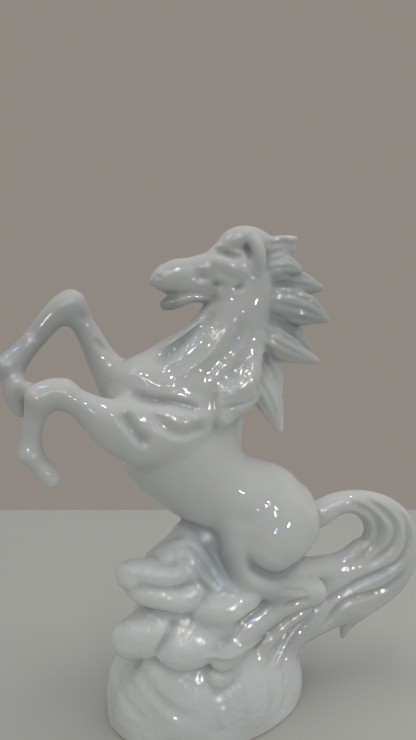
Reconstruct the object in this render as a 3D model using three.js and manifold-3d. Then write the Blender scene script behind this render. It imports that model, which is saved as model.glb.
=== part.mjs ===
// Porcelain figurine of a rearing horse on a rock mound, cast in pieces that are luted together.
// Millimetres, +Z up. The horse stands in the XZ plane and looks along -X; its near side is -Y.
import * as THREE from "three";
import { mergeVertices } from "three/addons/utils/BufferGeometryUtils.js";
import Module from "manifold-3d";

const wasm = await Module();
wasm.setup();

// Casting
const SEAM_GAP = 0.3; // slip joint between two casts
const WALL = 4; // thickness of the hollow casts

// Rock mound
const BASE_LENGTH = 124;
const BASE_WIDTH = 90;
const BASE_HEIGHT = 50;
const BASE_TURN = 11; // degrees that the oval foot is turned under the horse
const FLUTES = 9; // rock lobes round the mound
const FLUTE_DEPTH = 1.6;
const FOOT_CHAMFER = 1;
const HOOF_INSET = 12; // from the side of the mound in to the middle of a hind hoof

// Rock slabs
const CREST_TOP = 8;
const CREST_FOOT = 64;
const CREST_WIDTH = 50;
const LEDGE_THICKNESS = 13;
const LEDGE_WIDTH = 42;
const SLAB_THICKNESS = 20;
const SLAB_WIDTH = 50;
const ROCK_THICKNESS = 16;
const ROCK_WIDTH = 28;

// Trunk
const BREAST_DEPTH = 30;
const BREAST_WIDTH = 36;
const CHEST_DEPTH = 57;
const CHEST_WIDTH = 50;
const BARREL_DEPTH = 64;
const BARREL_WIDTH = 56;
const LOIN_DEPTH = 52;
const LOIN_WIDTH = 50;
const CROUP_DEPTH = 58;
const CROUP_WIDTH = 52;
const RUMP_DEPTH = 47;
const RUMP_WIDTH = 46;
const BLADE_DEPTH = 34;
const BLADE_WIDTH = 24;
const BLADE_INSET = 10; // from the side of the barrel in to the middle of a shoulder blade
const FOLD_WIDTH = 7; // of the skin folds on the chest

// Neck and head
const NECK_BASE_DEPTH = 71;
const NECK_BASE_WIDTH = 46;
const NECK_MIDDLE_DEPTH = 49;
const NECK_MIDDLE_WIDTH = 34;
const NECK_TOP_DEPTH = 28;
const NECK_TOP_WIDTH = 25;
const BROW_DEPTH = 30;
const BROW_WIDTH = 24;
const NOSE_DEPTH = 21;
const NOSE_WIDTH = 17;
const LIP_DEPTH = 12;
const LIP_WIDTH = 14;
const CHEEK_DEPTH = 20;
const CHEEK_WIDTH = 21;
const JAW_DEPTH = 9;
const JAW_WIDTH = 13;
const EAR_WIDTH = 7;
const EAR_SPREAD = 18;
const FORELOCK_DEPTH = 12.5;
const FORELOCK_WIDTH = 16;

// Mane and tail
const LOCK_ROOT = 19;
const LOCK_MIDDLE = 14;
const LOCK_TIP = 3.5;
const LOCK_FLATNESS = 0.85; // a lock's thickness against its width
const CURL_WIDTH = 13;
const WITHERS_INSET = 22.5; // from the back of the neck's foot in to the lock on the withers
const TAIL_ROOT_DEPTH = 16;
const TAIL_FULL_DEPTH = 50;
const TAIL_END_DEPTH = 17;
const TAIL_WIDTH = 19;
const STRAND_DEPTH = 12; // of the strands that run out on the mound
const STRAND_WIDTH = 10;
const STRAND_RELIEF = 2.4; // how far the strands stand out of the tail's core

// Legs, shared by both legs of a pair
const SHOULDER_DEPTH = 33;
const SHOULDER_WIDTH = 25;
const FOREARM_DEPTH = 15;
const FOREARM_WIDTH = 16;
const KNEE_DEPTH = 15;
const KNEE_WIDTH = 16;
const CANNON_DEPTH = 10.5;
const CANNON_WIDTH = 11.5;
const FETLOCK_DEPTH = 13;
const FETLOCK_WIDTH = 13;
const HOOF_DEPTH = 12;
const HOOF_WIDTH = 14;
const HOCK_SPREAD = 17; // from the mid plane out to a hock
const THIGH_DEPTH = 44;
const THIGH_WIDTH = 34;
const STIFLE_DEPTH = 34;
const STIFLE_WIDTH = 27;
const GASKIN_DEPTH = 16;
const GASKIN_WIDTH = 17.5;
const HOCK_DEPTH = 13;
const HOCK_WIDTH = 14;
const HIND_CANNON_DEPTH = 15;
const HIND_CANNON_WIDTH = 15;
const HIND_HOOF_DEPTH = 14;
const HIND_HOOF_WIDTH = 15;

// Glaze
const GLAZE = { color: 0xe6e6e2, roughness: 0.12, metalness: 0 };
const ROCK_GLAZE = { color: 0xdfe2e3, roughness: 0.16, metalness: 0 };

// Fineness of the skins
const RING_SIDES = 10;
const BODY_SIDES = 18;
const STRAND_SIDES = 6;
const STEPS = 2; // rings between two stations
const CAP_RINGS = 2;
const CAP_REACH = 0.7; // how far an end bulges, as a share of its lesser half size
const MOUND_SIDES = 36;

const ACROSS = new THREE.Vector3(0, 1, 0);
const HOOF_SPREAD = BASE_WIDTH / 2 - HOOF_INSET;
const mean = (a, b) => (a + b) / 2;

// How far out a hind leg stands at a share of its way from the hock down to the hoof.
const splay = (share) => THREE.MathUtils.lerp(HOCK_SPREAD, HOOF_SPREAD, share);

// A station of a skin: a point on its centre line, with its height above the top of the mound,
// its depth in the horse's mid plane and its width across.
function station(x, y, up, depth, width) {
  return {
    point: new THREE.Vector3(x, y, BASE_HEIGHT + up),
    size: new THREE.Vector3(depth, width, 0),
  };
}

// Rings of points are skinned into one closed surface, with a point before the first and after the last.
function closedSkin(firstPole, rings, lastPole) {
  const sides = rings[0].length;
  const points = [firstPole, ...rings.flat(), lastPole];
  const last = points.length - 1;
  const faces = [];
  for (let side = 0; side < sides; side++) {
    const next = (side + 1) % sides;
    faces.push(0, 1 + next, 1 + side);
    for (let ring = 0; ring + 1 < rings.length; ring++) {
      const low = 1 + ring * sides;
      const high = low + sides;
      faces.push(low + side, low + next, high + next);
      faces.push(low + side, high + next, high + side);
    }
    const rim = last - sides;
    faces.push(last, rim + side, rim + next);
  }
  return new THREE.BufferGeometry().setFromPoints(points).setIndex(faces);
}

function solidOf(geometry) {
  const merged = mergeVertices(geometry);
  const vertProperties = new Float32Array(merged.attributes.position.array);
  const triVerts = new Uint32Array(merged.index.array);
  return new wasm.Manifold(new wasm.Mesh({ numProp: 3, vertProperties, triVerts }));
}

// A round section: points on its outline as shares of the half depth and of the half width.
const round = (sides) => () =>
  Array.from({ length: sides }, (_, i) => {
    const angle = (2 * Math.PI * i) / sides;
    return [Math.cos(angle), Math.sin(angle)];
  });

// A bone is a smooth skin over its stations with round ends. Growing it moves the whole skin outwards.
function bone(stations, grow = 0, section = round(RING_SIDES)) {
  const line = new THREE.CatmullRomCurve3(stations.map((s) => s.point));
  const sizes = new THREE.CatmullRomCurve3(stations.map((s) => s.size));
  const steps = STEPS * (stations.length - 1);
  const ringAt = (share, scale, shift) => {
    const along = line.getTangent(share);
    const across = ACROSS.clone().addScaledVector(along, -ACROSS.dot(along)).normalize();
    const deep = new THREE.Vector3().crossVectors(across, along);
    const size = sizes.getPoint(share);
    const centre = line.getPoint(share).addScaledVector(along, shift);
    return section(share).map(([ahead, aside]) =>
      centre
        .clone()
        .addScaledVector(deep, ahead * scale * (size.x / 2 + grow))
        .addScaledVector(across, aside * scale * (size.y / 2 + grow)),
    );
  };
  const reach = (share) => {
    const size = sizes.getPoint(share);
    return (CAP_REACH * Math.min(size.x, size.y)) / 2 + grow;
  };
  const cap = (share, sign) =>
    Array.from({ length: CAP_RINGS - 1 }, (_, i) => {
      const angle = ((i + 1) * Math.PI) / 2 / CAP_RINGS;
      return ringAt(share, Math.cos(angle), sign * reach(share) * Math.sin(angle));
    });
  const middle = Array.from({ length: steps + 1 }, (_, i) => ringAt(i / steps, 1, 0));
  const pole = (share, sign) =>
    line.getPoint(share).addScaledVector(line.getTangent(share), sign * reach(share));
  const rings = [...cap(0, -1).reverse(), ...middle, ...cap(1, 1)];
  return solidOf(closedSkin(pole(0, -1), rings, pole(1, 1)));
}

const join = (solids) => solids.reduce((whole, solid) => whole.add(solid));
const bones = (list, grow = 0, sides = RING_SIDES) =>
  join(list.map((one) => bone(one, grow, round(sides))));
const mirrored = (list) =>
  list.map((one) => one.map(({ point, size }) => ({ point: point.clone().setY(-point.y), size })));

// The mound: oval rings with rock lobes, widest just above the foot.
function mound(inset = 0) {
  const profile = [
    [0, 1, -FOOT_CHAMFER],
    [FOOT_CHAMFER, 1, 0],
    [0.28 * BASE_HEIGHT, 0.99, 0],
    [0.45 * BASE_HEIGHT, 0.94, 0],
    [0.62 * BASE_HEIGHT, 0.86, 0],
    [0.8 * BASE_HEIGHT, 0.73, 0],
    [0.92 * BASE_HEIGHT, 0.55, 0],
  ];
  const turn = THREE.MathUtils.degToRad(BASE_TURN);
  const rings = profile.map(([height, share, bevel], level) =>
    Array.from({ length: MOUND_SIDES }, (_, i) => {
      const angle = (2 * Math.PI * i) / MOUND_SIDES;
      const lobe = level > 1 ? FLUTE_DEPTH * Math.cos(FLUTES * angle + 0.5 * level) : 0;
      const edge = bevel + lobe - inset;
      const x = Math.cos(angle) * ((share * BASE_LENGTH) / 2 + edge);
      const y = Math.sin(angle) * ((share * BASE_WIDTH) / 2 + edge);
      const z = inset > 0 ? height - inset : height;
      return new THREE.Vector3(
        x * Math.cos(turn) - y * Math.sin(turn),
        x * Math.sin(turn) + y * Math.cos(turn),
        z,
      );
    }),
  );
  const lowest = new THREE.Vector3(0, 0, rings[0][0].z);
  const highest = new THREE.Vector3(0, 0, BASE_HEIGHT - inset);
  return solidOf(closedSkin(lowest, rings, highest));
}

const TRUNK = [
  [
    station(-41, 0, 149, BREAST_DEPTH, BREAST_WIDTH),
    station(-38, 0, 138, mean(BREAST_DEPTH, CHEST_DEPTH), mean(BREAST_WIDTH, CHEST_WIDTH)),
    station(-32, 0, 123.5, CHEST_DEPTH, CHEST_WIDTH),
    station(-16, 0, 103.5, BARREL_DEPTH, BARREL_WIDTH),
    station(6, 0, 79, LOIN_DEPTH, LOIN_WIDTH),
    station(33, 0, 63.5, CROUP_DEPTH, CROUP_WIDTH),
    station(51, 0, 55.5, RUMP_DEPTH, RUMP_WIDTH),
  ],
];

const flank = BARREL_WIDTH / 2;
const NEAR_BLADE = [
  [
    station(-43, BLADE_INSET - flank, 118, BLADE_DEPTH, BLADE_WIDTH),
    station(-24, BLADE_INSET - flank - 2.5, 120, BLADE_DEPTH, BLADE_WIDTH - 2),
    station(-9, BLADE_INSET - flank - 0.5, 124, BLADE_DEPTH - 13, BLADE_WIDTH - 8),
  ],
];

// Skin folds on the chest, cut into the near side of the trunk.
const NEAR_FOLDS = [
  [
    station(-48, 10.5 - flank, 140.9, FOLD_WIDTH / 2, FOLD_WIDTH - 2),
    station(-27, 4 - flank, 135.3, FOLD_WIDTH, FOLD_WIDTH),
    station(-8, 4 - flank, 131, FOLD_WIDTH / 2, FOLD_WIDTH - 2),
  ],
  [
    station(-37, 3.5 - flank, 132.5, FOLD_WIDTH / 2, FOLD_WIDTH - 2),
    station(-22, -3.2 - flank, 121, FOLD_WIDTH, FOLD_WIDTH),
    station(-6, 2.5 - flank, 124, FOLD_WIDTH / 2, FOLD_WIDTH - 2),
  ],
  [
    station(-45, -2 - flank, 122.9, FOLD_WIDTH, FOLD_WIDTH),
    station(-35, -3.2 - flank, 115.8, FOLD_WIDTH / 2, FOLD_WIDTH - 2),
  ],
];

const NECK = [
  [
    station(-13, 0, 135.5, NECK_BASE_DEPTH, NECK_BASE_WIDTH),
    station(7.5, 0, 162, NECK_MIDDLE_DEPTH, NECK_MIDDLE_WIDTH),
    station(
      20.5,
      0,
      187.5,
      mean(NECK_MIDDLE_DEPTH, NECK_TOP_DEPTH) - 2,
      mean(NECK_MIDDLE_WIDTH, NECK_TOP_WIDTH),
    ),
    station(24.5, 0, 203.5, NECK_TOP_DEPTH, NECK_TOP_WIDTH),
  ],
];

const HEAD = [
  [
    station(22.5, 0, 207.5, NECK_TOP_DEPTH, NECK_TOP_WIDTH),
    station(12.5, 0, 205, BROW_DEPTH, BROW_WIDTH),
    station(1, 0, 204, mean(BROW_DEPTH, NOSE_DEPTH), mean(BROW_WIDTH, NOSE_WIDTH)),
    station(-10.5, 0, 202.5, NOSE_DEPTH, NOSE_WIDTH),
    station(-21, 0, 202, mean(NOSE_DEPTH, LIP_DEPTH) + 1, mean(NOSE_WIDTH, LIP_WIDTH)),
    station(-28, 0, 199.5, LIP_DEPTH, LIP_WIDTH),
  ],
];

const JAW = [
  [
    station(14, 0, 196, CHEEK_DEPTH, CHEEK_WIDTH),
    station(-1.5, 0, 192.5, JAW_DEPTH + 1, JAW_WIDTH + 1),
    station(-12.5, 0, 191, JAW_DEPTH - 1, JAW_WIDTH - 1),
    station(-22.5, 0, 188.5, JAW_DEPTH, JAW_WIDTH - 2),
  ],
];

const NEAR_EAR = [
  [
    station(27, -EAR_SPREAD / 2, 209, EAR_WIDTH, EAR_WIDTH),
    station(26.5, -EAR_SPREAD / 2, 217, EAR_WIDTH, EAR_WIDTH),
    station(23, -EAR_SPREAD / 2 + 1, 224.5, EAR_WIDTH / 2, EAR_WIDTH / 2),
  ],
];

const FORELOCK = [
  [
    station(9, 0, 218.5, FORELOCK_DEPTH - 3, FORELOCK_WIDTH - 3),
    station(14, 0, 223.5, FORELOCK_DEPTH - 1, FORELOCK_WIDTH),
    station(22, 0, 225, FORELOCK_DEPTH, FORELOCK_WIDTH),
    station(29, 0, 220.5, FORELOCK_DEPTH, FORELOCK_WIDTH),
  ],
];

// A lock of the mane swings from its root in the crest through a middle point to its tip.
function lock(root, middle, tip, widths = [LOCK_ROOT, LOCK_MIDDLE, LOCK_TIP]) {
  const stops = [root, middle, tip];
  return [stops.map((stop, i) => station(...stop, widths[i], widths[i] * LOCK_FLATNESS))];
}

const BLUNT = [LOCK_ROOT, LOCK_ROOT, LOCK_MIDDLE - 2];
const BROAD = [LOCK_ROOT, LOCK_MIDDLE + 4, LOCK_TIP + 4];
const MANE_LOCKS = [
  lock([30, 0, 208], [40, 0, 214], [47, 0, 218], BLUNT),
  lock([30, -2, 199], [45, -3, 205], [53.5, -3, 206]),
  lock([30, 2, 190], [54, 2, 198], [70, 2, 197]),
  lock([30, -3, 187], [54, -4, 185], [70, -4, 178]),
  lock([28, 3, 180], [50.5, 4, 173], [62.5, 4, 163]),
  lock([26, -4, 176], [47, -6, 163.5], [60.5, -6, 156], BROAD),
  lock([26, 2, 164], [40, 0, 149.5], [44, 0, 134]),
  lock([20, -4, 152], [34, -6, 131], [40, -6, 113.5], BROAD),
];

const NEAR_CURLS = [
  [
    [
      station(25, -11, 167, CURL_WIDTH - 2, CURL_WIDTH - 3),
      station(22.5, -15, 150, CURL_WIDTH + 1, CURL_WIDTH - 1),
      station(12.5, -19, 139.5, CURL_WIDTH, CURL_WIDTH - 1),
      station(3.5, -20.5, 133, CURL_WIDTH - 5, CURL_WIDTH - 5),
    ],
  ],
  [
    [
      station(20, -10, 136.5, CURL_WIDTH - 3, CURL_WIDTH - 3),
      station(15, -16, 129, CURL_WIDTH - 3, CURL_WIDTH - 3),
      station(6.5, -20, 124.5, CURL_WIDTH - 4, CURL_WIDTH - 3),
      station(4, -21, 115.5, CURL_WIDTH / 2, CURL_WIDTH / 2),
    ],
  ],
];

const withers = NECK_BASE_DEPTH / 2 - WITHERS_INSET;
const WITHERS_LOCK = lock([withers, 0, 131], [withers, -4, 116], [withers + 2, -4, 99.5]);

const NEAR_FORELEG = [
  [
    station(-40, -15, 119, SHOULDER_DEPTH, SHOULDER_WIDTH),
    station(-55.5, -22, 127, mean(SHOULDER_DEPTH, FOREARM_DEPTH), mean(SHOULDER_WIDTH, FOREARM_WIDTH)),
    station(-69, -24, 137, FOREARM_DEPTH - 1, FOREARM_WIDTH),
    station(-80, -24, 143.5, FOREARM_DEPTH - 2, FOREARM_WIDTH),
  ],
  [
    station(-79, -24, 144, KNEE_DEPTH - 2, KNEE_WIDTH),
    station(-89.5, -24, 143.5, KNEE_DEPTH - 1, KNEE_WIDTH),
  ],
  [
    station(-90, -24, 142, KNEE_DEPTH - 2, KNEE_WIDTH - 1),
    station(-92.5, -23, 131, CANNON_DEPTH, CANNON_WIDTH),
    station(-95, -22, 120.5, CANNON_DEPTH - 1, CANNON_WIDTH),
    station(-97.5, -22, 112, FETLOCK_DEPTH - 3, FETLOCK_WIDTH),
  ],
  [
    station(-97.5, -22, 111.5, FETLOCK_DEPTH - 3, FETLOCK_WIDTH),
    station(-92.5, -22, 105.5, HOOF_DEPTH, HOOF_WIDTH),
    station(-87.5, -21.5, 99, HOOF_DEPTH + 1, HOOF_WIDTH + 1),
  ],
];

const OFF_FORELEG = [
  [
    station(-38, 13, 130, SHOULDER_DEPTH - 2, SHOULDER_WIDTH),
    station(-56, 16, 151.5, mean(SHOULDER_DEPTH, FOREARM_DEPTH) - 3, mean(SHOULDER_WIDTH, FOREARM_WIDTH)),
    station(-65.5, 15, 170.5, FOREARM_DEPTH, FOREARM_WIDTH),
    station(-73.5, 13, 186, FOREARM_DEPTH, FOREARM_WIDTH),
  ],
  [
    station(-75, 13, 187.5, KNEE_DEPTH, KNEE_WIDTH),
    station(-84, 11, 181.5, KNEE_DEPTH - 1, KNEE_WIDTH - 1),
    station(-94.5, 8, 169.5, CANNON_DEPTH + 1, CANNON_WIDTH),
    station(-102.5, 4, 160, FETLOCK_DEPTH, FETLOCK_WIDTH),
    station(-109, 1, 154, FETLOCK_DEPTH, FETLOCK_WIDTH),
  ],
  [
    station(-110, 1, 153, FETLOCK_DEPTH - 1, FETLOCK_WIDTH),
    station(-108, -1, 144, HOOF_DEPTH - 1, HOOF_WIDTH - 2),
    station(-104, -3, 137, HOOF_DEPTH - 1, HOOF_WIDTH - 1),
    station(-101.5, -4.5, 133, HOOF_DEPTH - 2, HOOF_WIDTH - 1),
  ],
];

const NEAR_HIND_LEG = [
  [
    station(46, -10, 63, THIGH_DEPTH, THIGH_WIDTH),
    station(35, -16, 54, THIGH_DEPTH - 1, THIGH_WIDTH - 1),
    station(27.5, -HOCK_SPREAD - 2.5, 45, STIFLE_DEPTH, STIFLE_WIDTH),
  ],
  [
    station(13, -HOCK_SPREAD, 60, GASKIN_DEPTH + 4, GASKIN_WIDTH + 1),
    station(10.5, -HOCK_SPREAD - 4, 48, GASKIN_DEPTH + 1, GASKIN_WIDTH + 1),
    station(15, -HOCK_SPREAD - 6, 37, GASKIN_DEPTH, GASKIN_WIDTH + 1),
    station(28, -HOCK_SPREAD - 6, 28.5, GASKIN_DEPTH, GASKIN_WIDTH),
    station(43, -HOCK_SPREAD - 4, 24.5, GASKIN_DEPTH - 2, GASKIN_WIDTH - 2),
    station(60, -splay(0), 18.5, HOCK_DEPTH, HOCK_WIDTH),
  ],
  [
    station(60, -splay(0), 17, HOCK_DEPTH, HOCK_WIDTH),
    station(47, -splay(0.175), 14, HIND_CANNON_DEPTH - 4, HIND_CANNON_WIDTH - 2),
    station(33.5, -splay(0.3125), 12.5, HIND_CANNON_DEPTH, HIND_CANNON_WIDTH),
    station(18, -splay(0.5625), 6.5, HIND_CANNON_DEPTH + 3, HIND_CANNON_WIDTH + 1),
    station(6, -splay(0.85), -2, HIND_CANNON_DEPTH, HIND_CANNON_WIDTH),
  ],
  [
    station(1, -splay(1), -5, HIND_HOOF_DEPTH, HIND_HOOF_WIDTH),
    station(-0.5, -splay(1.125), -8.5, HIND_HOOF_DEPTH - 1, HIND_HOOF_WIDTH - 1),
  ],
];

const TAIL = [
  station(58, 0, 55, TAIL_ROOT_DEPTH + 2, TAIL_WIDTH - 4),
  station(70, 0.5, 58, TAIL_ROOT_DEPTH + 1, TAIL_WIDTH - 4),
  station(80, 1, 62.5, TAIL_ROOT_DEPTH - 1.5, TAIL_WIDTH - 4),
  station(90, 1.5, 64, TAIL_ROOT_DEPTH - 2, TAIL_WIDTH - 3),
  station(101, 2, 61.5, TAIL_ROOT_DEPTH + 1.5, TAIL_WIDTH - 2),
  station(111, 2, 55, TAIL_FULL_DEPTH / 2, TAIL_WIDTH - 1),
  station(118, 2, 45, TAIL_FULL_DEPTH - 16, TAIL_WIDTH),
  station(119.5, 2, 32, TAIL_FULL_DEPTH - 7, TAIL_WIDTH),
  station(113.5, 2, 20, TAIL_FULL_DEPTH, TAIL_WIDTH),
  station(101, 2, 11, TAIL_FULL_DEPTH, TAIL_WIDTH),
  station(86, 1, 6.5, TAIL_FULL_DEPTH - 1, TAIL_WIDTH),
  station(70, -1, 4.5, TAIL_FULL_DEPTH, TAIL_WIDTH),
  station(54, -6, -4, TAIL_FULL_DEPTH - 11, TAIL_WIDTH),
  station(37, -14, -18, TAIL_END_DEPTH, TAIL_WIDTH - 3),
];

// Edges of the strands as shares of the tail's half depth, from the inside of the loop to the outside,
// at the root of the tail and at its end.
const STRANDS_HIGH = [1, 0.6, 0.2, -0.25, -0.6, -1];
const STRANDS_LOW = [1, 0.7, 0.5, 0.18, -0.25, -1];
const HAIR_START = 0.35; // share of the tail over which the strands come up

// The tail's section a share of the way along it: strands with grooves between them on both sides.
function strandSection(share) {
  const edges = STRANDS_HIGH.map((high, i) => THREE.MathUtils.lerp(high, STRANDS_LOW[i], share));
  const groove = (STRAND_RELIEF / TAIL_WIDTH) * 2 * THREE.MathUtils.smoothstep(share, 0, HAIR_START);
  const side = edges.slice(1).flatMap((edge, i) => [
    [mean(edges[i], edge), 1],
    [edge, 1 - groove],
  ]);
  side.pop();
  const bulge = ([ahead, height]) => [ahead, height * Math.sqrt(1 - ahead * ahead)];
  const near = side.map(bulge);
  const off = near.map(([ahead, aside]) => [ahead, -aside]).reverse();
  return [[1, 0], ...near, [-1, 0], ...off];
}

const MOUND_STRANDS = [
  [
    station(58, -12, 4, STRAND_DEPTH, STRAND_WIDTH),
    station(38, -18, -2, STRAND_DEPTH - 1, STRAND_WIDTH),
    station(26, -24, -10.5, STRAND_DEPTH - 2, STRAND_WIDTH - 1),
    station(23, -27, -19, STRAND_DEPTH - 5, STRAND_WIDTH - 4),
  ],
  [
    station(60, -8, -2, STRAND_DEPTH, STRAND_WIDTH),
    station(46, -14, -8, STRAND_DEPTH - 1, STRAND_WIDTH),
    station(36, -21, -17, STRAND_DEPTH - 2, STRAND_WIDTH - 1),
    station(32.5, -24.5, -25, STRAND_DEPTH - 6, STRAND_WIDTH - 4),
  ],
  [
    station(62, -4, -8, STRAND_DEPTH, STRAND_WIDTH),
    station(52, -10, -15, STRAND_DEPTH - 1, STRAND_WIDTH),
    station(45, -16, -23, STRAND_DEPTH - 3, STRAND_WIDTH - 2),
    station(43, -19.5, -29, STRAND_DEPTH - 6, STRAND_WIDTH - 5),
  ],
];

const TAIL_LOCK = lock([99, 3, -8], [93, 4, -20], [90.5, 4.5, -29]);

const CREST = [
  [
    station(-14, -3, 56, CREST_TOP, CREST_WIDTH / 2),
    station(-13, -5, 48, mean(CREST_TOP, CREST_FOOT) - 14, CREST_WIDTH - 14),
    station(-8, -6, 32, CREST_FOOT - 10, CREST_WIDTH - 4),
    station(-5, -5, 10, CREST_FOOT, CREST_WIDTH),
  ],
];

const UPPER_LEDGE = [
  [
    station(-49.5, -13, 39, LEDGE_THICKNESS - 2, LEDGE_WIDTH - 16),
    station(-35, -10, 39, LEDGE_THICKNESS, LEDGE_WIDTH - 4),
    station(-12, -9, 38, LEDGE_THICKNESS, LEDGE_WIDTH),
  ],
];

const SECOND_LEDGE = [
  [
    station(-42, -12, 26, LEDGE_THICKNESS - 2, LEDGE_WIDTH - 12),
    station(-28, -11, 25.5, LEDGE_THICKNESS + 1, LEDGE_WIDTH + 4),
    station(-8, -10, 25.5, LEDGE_THICKNESS + 1, LEDGE_WIDTH + 8),
  ],
];

const LOWER_LEFT_SLAB = [
  [
    station(-51, -14, 5, SLAB_THICKNESS - 3, SLAB_WIDTH - 16),
    station(-35, -12, 5, SLAB_THICKNESS + 1, SLAB_WIDTH),
    station(-14, -10, 5, SLAB_THICKNESS, SLAB_WIDTH + 6),
  ],
];

const LOWER_MID_SLAB = [
  [
    station(-26, 5 - HOOF_SPREAD, 2, SLAB_THICKNESS - 2, ROCK_WIDTH),
    station(-15, 3 - HOOF_SPREAD, 0, SLAB_THICKNESS + 2, ROCK_WIDTH + 2),
    station(-7, 7 - HOOF_SPREAD, -0.5, SLAB_THICKNESS, ROCK_WIDTH - 4),
  ],
];

const RIGHT_SLAB = [
  [
    station(-8, -20, 19, ROCK_THICKNESS - 2, ROCK_WIDTH - 4),
    station(-2, -22, 20, ROCK_THICKNESS, ROCK_WIDTH),
    station(11, -19, 19, ROCK_THICKNESS - 2, ROCK_WIDTH - 4),
  ],
];

const OFF_SIDE_SLAB = [
  [
    station(-14, HOOF_SPREAD - 13, 6, ROCK_THICKNESS + 2, ROCK_WIDTH - 6),
    station(6, HOOF_SPREAD - 16, 2, ROCK_THICKNESS + 4, ROCK_WIDTH - 6),
    station(22, HOOF_SPREAD - 17, -2, ROCK_THICKNESS, ROCK_WIDTH - 6),
  ],
];

const HOOF_REST = [
  [
    station(10, 7 - HOOF_SPREAD, -12, ROCK_THICKNESS, ROCK_WIDTH - 4),
    station(0, -HOOF_SPREAD, -17, ROCK_THICKNESS, ROCK_WIDTH - 6),
  ],
];

const figure = new THREE.Group();
const luted = [];

const apart = (a, b) =>
  ["x", "y", "z"].some((axis, i) => a.max[i] < b.min[i] || b.max[i] < a.min[i]);

// The largest body of a trimmed cast: slivers that a cut leaves on the far side of a neighbour are waste.
const largest = (solid) => solid.decompose().sort((a, b) => b.volume() - a.volume())[0];

// A cast is trimmed by every cast that was luted before it, with the slip joint between them.
function lute(name, glaze, shape, hollows = []) {
  const grown = shape(SEAM_GAP);
  let solid = shape(0);
  const box = solid.boundingBox();
  for (const earlier of luted) {
    if (!apart(box, earlier.boundingBox())) solid = solid.subtract(earlier);
  }
  for (const hollow of hollows) solid = solid.subtract(hollow);
  luted.push(grown);
  const { vertProperties, triVerts } = largest(solid).getMesh();
  const geometry = new THREE.BufferGeometry();
  geometry.setAttribute("position", new THREE.BufferAttribute(vertProperties, 3));
  geometry.setIndex(new THREE.BufferAttribute(triVerts, 1));
  geometry.computeVertexNormals();
  const mesh = new THREE.Mesh(geometry, new THREE.MeshStandardMaterial(glaze));
  mesh.name = name;
  figure.add(mesh);
}

const shapeOf = (list, sides) => (grow) => bones(list, grow, sides);
const neckHollow = bones(NECK, -WALL);

const trunk = (grow) =>
  join([bones(TRUNK, grow, BODY_SIDES), bones(NEAR_BLADE, grow), bones(mirrored(NEAR_BLADE), grow)]);
const folds = bones([...NEAR_FOLDS, ...mirrored(NEAR_FOLDS)], 0, STRAND_SIDES);
const tail = (grow) => bone(TAIL, grow, strandSection).add(bones(MOUND_STRANDS, grow, STRAND_SIDES));

lute("trunk", GLAZE, trunk, [bones(TRUNK, -WALL), neckHollow, folds]);
lute("neck", GLAZE, shapeOf(NECK, BODY_SIDES), [neckHollow]);
lute("base_mound", ROCK_GLAZE, (grow) => mound(-grow), [mound(WALL)]);
lute("near_hind_leg", GLAZE, shapeOf(NEAR_HIND_LEG));
lute("off_hind_leg", GLAZE, shapeOf(mirrored(NEAR_HIND_LEG)));
lute("rock_crest", ROCK_GLAZE, shapeOf(CREST, BODY_SIDES));
lute("upper_ledge", ROCK_GLAZE, shapeOf(UPPER_LEDGE));
lute("second_ledge", ROCK_GLAZE, shapeOf(SECOND_LEDGE));
lute("lower_left_slab", ROCK_GLAZE, shapeOf(LOWER_LEFT_SLAB));
lute("lower_mid_slab", ROCK_GLAZE, shapeOf(LOWER_MID_SLAB));
lute("right_slab", ROCK_GLAZE, shapeOf(RIGHT_SLAB));
lute("off_side_slab", ROCK_GLAZE, shapeOf(OFF_SIDE_SLAB));
lute("hoof_rest", ROCK_GLAZE, shapeOf(HOOF_REST));
lute("tail", GLAZE, tail);
lute("tail_lock", GLAZE, shapeOf(TAIL_LOCK));
lute("near_foreleg", GLAZE, shapeOf(NEAR_FORELEG));
lute("off_foreleg", GLAZE, shapeOf(OFF_FORELEG));
lute("head", GLAZE, shapeOf(HEAD, BODY_SIDES));
lute("lower_jaw", GLAZE, shapeOf(JAW));
lute("near_ear", GLAZE, shapeOf(NEAR_EAR));
lute("off_ear", GLAZE, shapeOf(mirrored(NEAR_EAR)));
lute("forelock", GLAZE, shapeOf(FORELOCK));
MANE_LOCKS.forEach((one, i) => lute(`mane_lock_${i + 1}`, GLAZE, shapeOf(one)));
NEAR_CURLS.forEach((one, i) => lute(`near_curl_${i + 1}`, GLAZE, shapeOf(one)));
lute("withers_lock", GLAZE, shapeOf(WITHERS_LOCK));

// The origin is the middle of the figure's box, on the table.
const box = new THREE.Box3().setFromObject(figure);
const centre = box.getCenter(new THREE.Vector3());
figure.position.set(-centre.x, -centre.y, -box.min.z);

export default figure;
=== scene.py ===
"""Looks of a white porcelain figurine: a rearing horse on a rock mound.

The figure is modelled as one block of clay, cast by cast, and then parted along its luting seams, so that
the glaze runs over the seams as it does on the real thing. Sizes are millimetres in the drawing frame: the
mound's axis stands at the origin, the horse looks along -X and its near side is -Y.
"""

import logging
import math
from dataclasses import dataclass, field
from enum import Enum

import bpy
import numpy as np
from mathutils import Matrix, Vector


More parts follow.
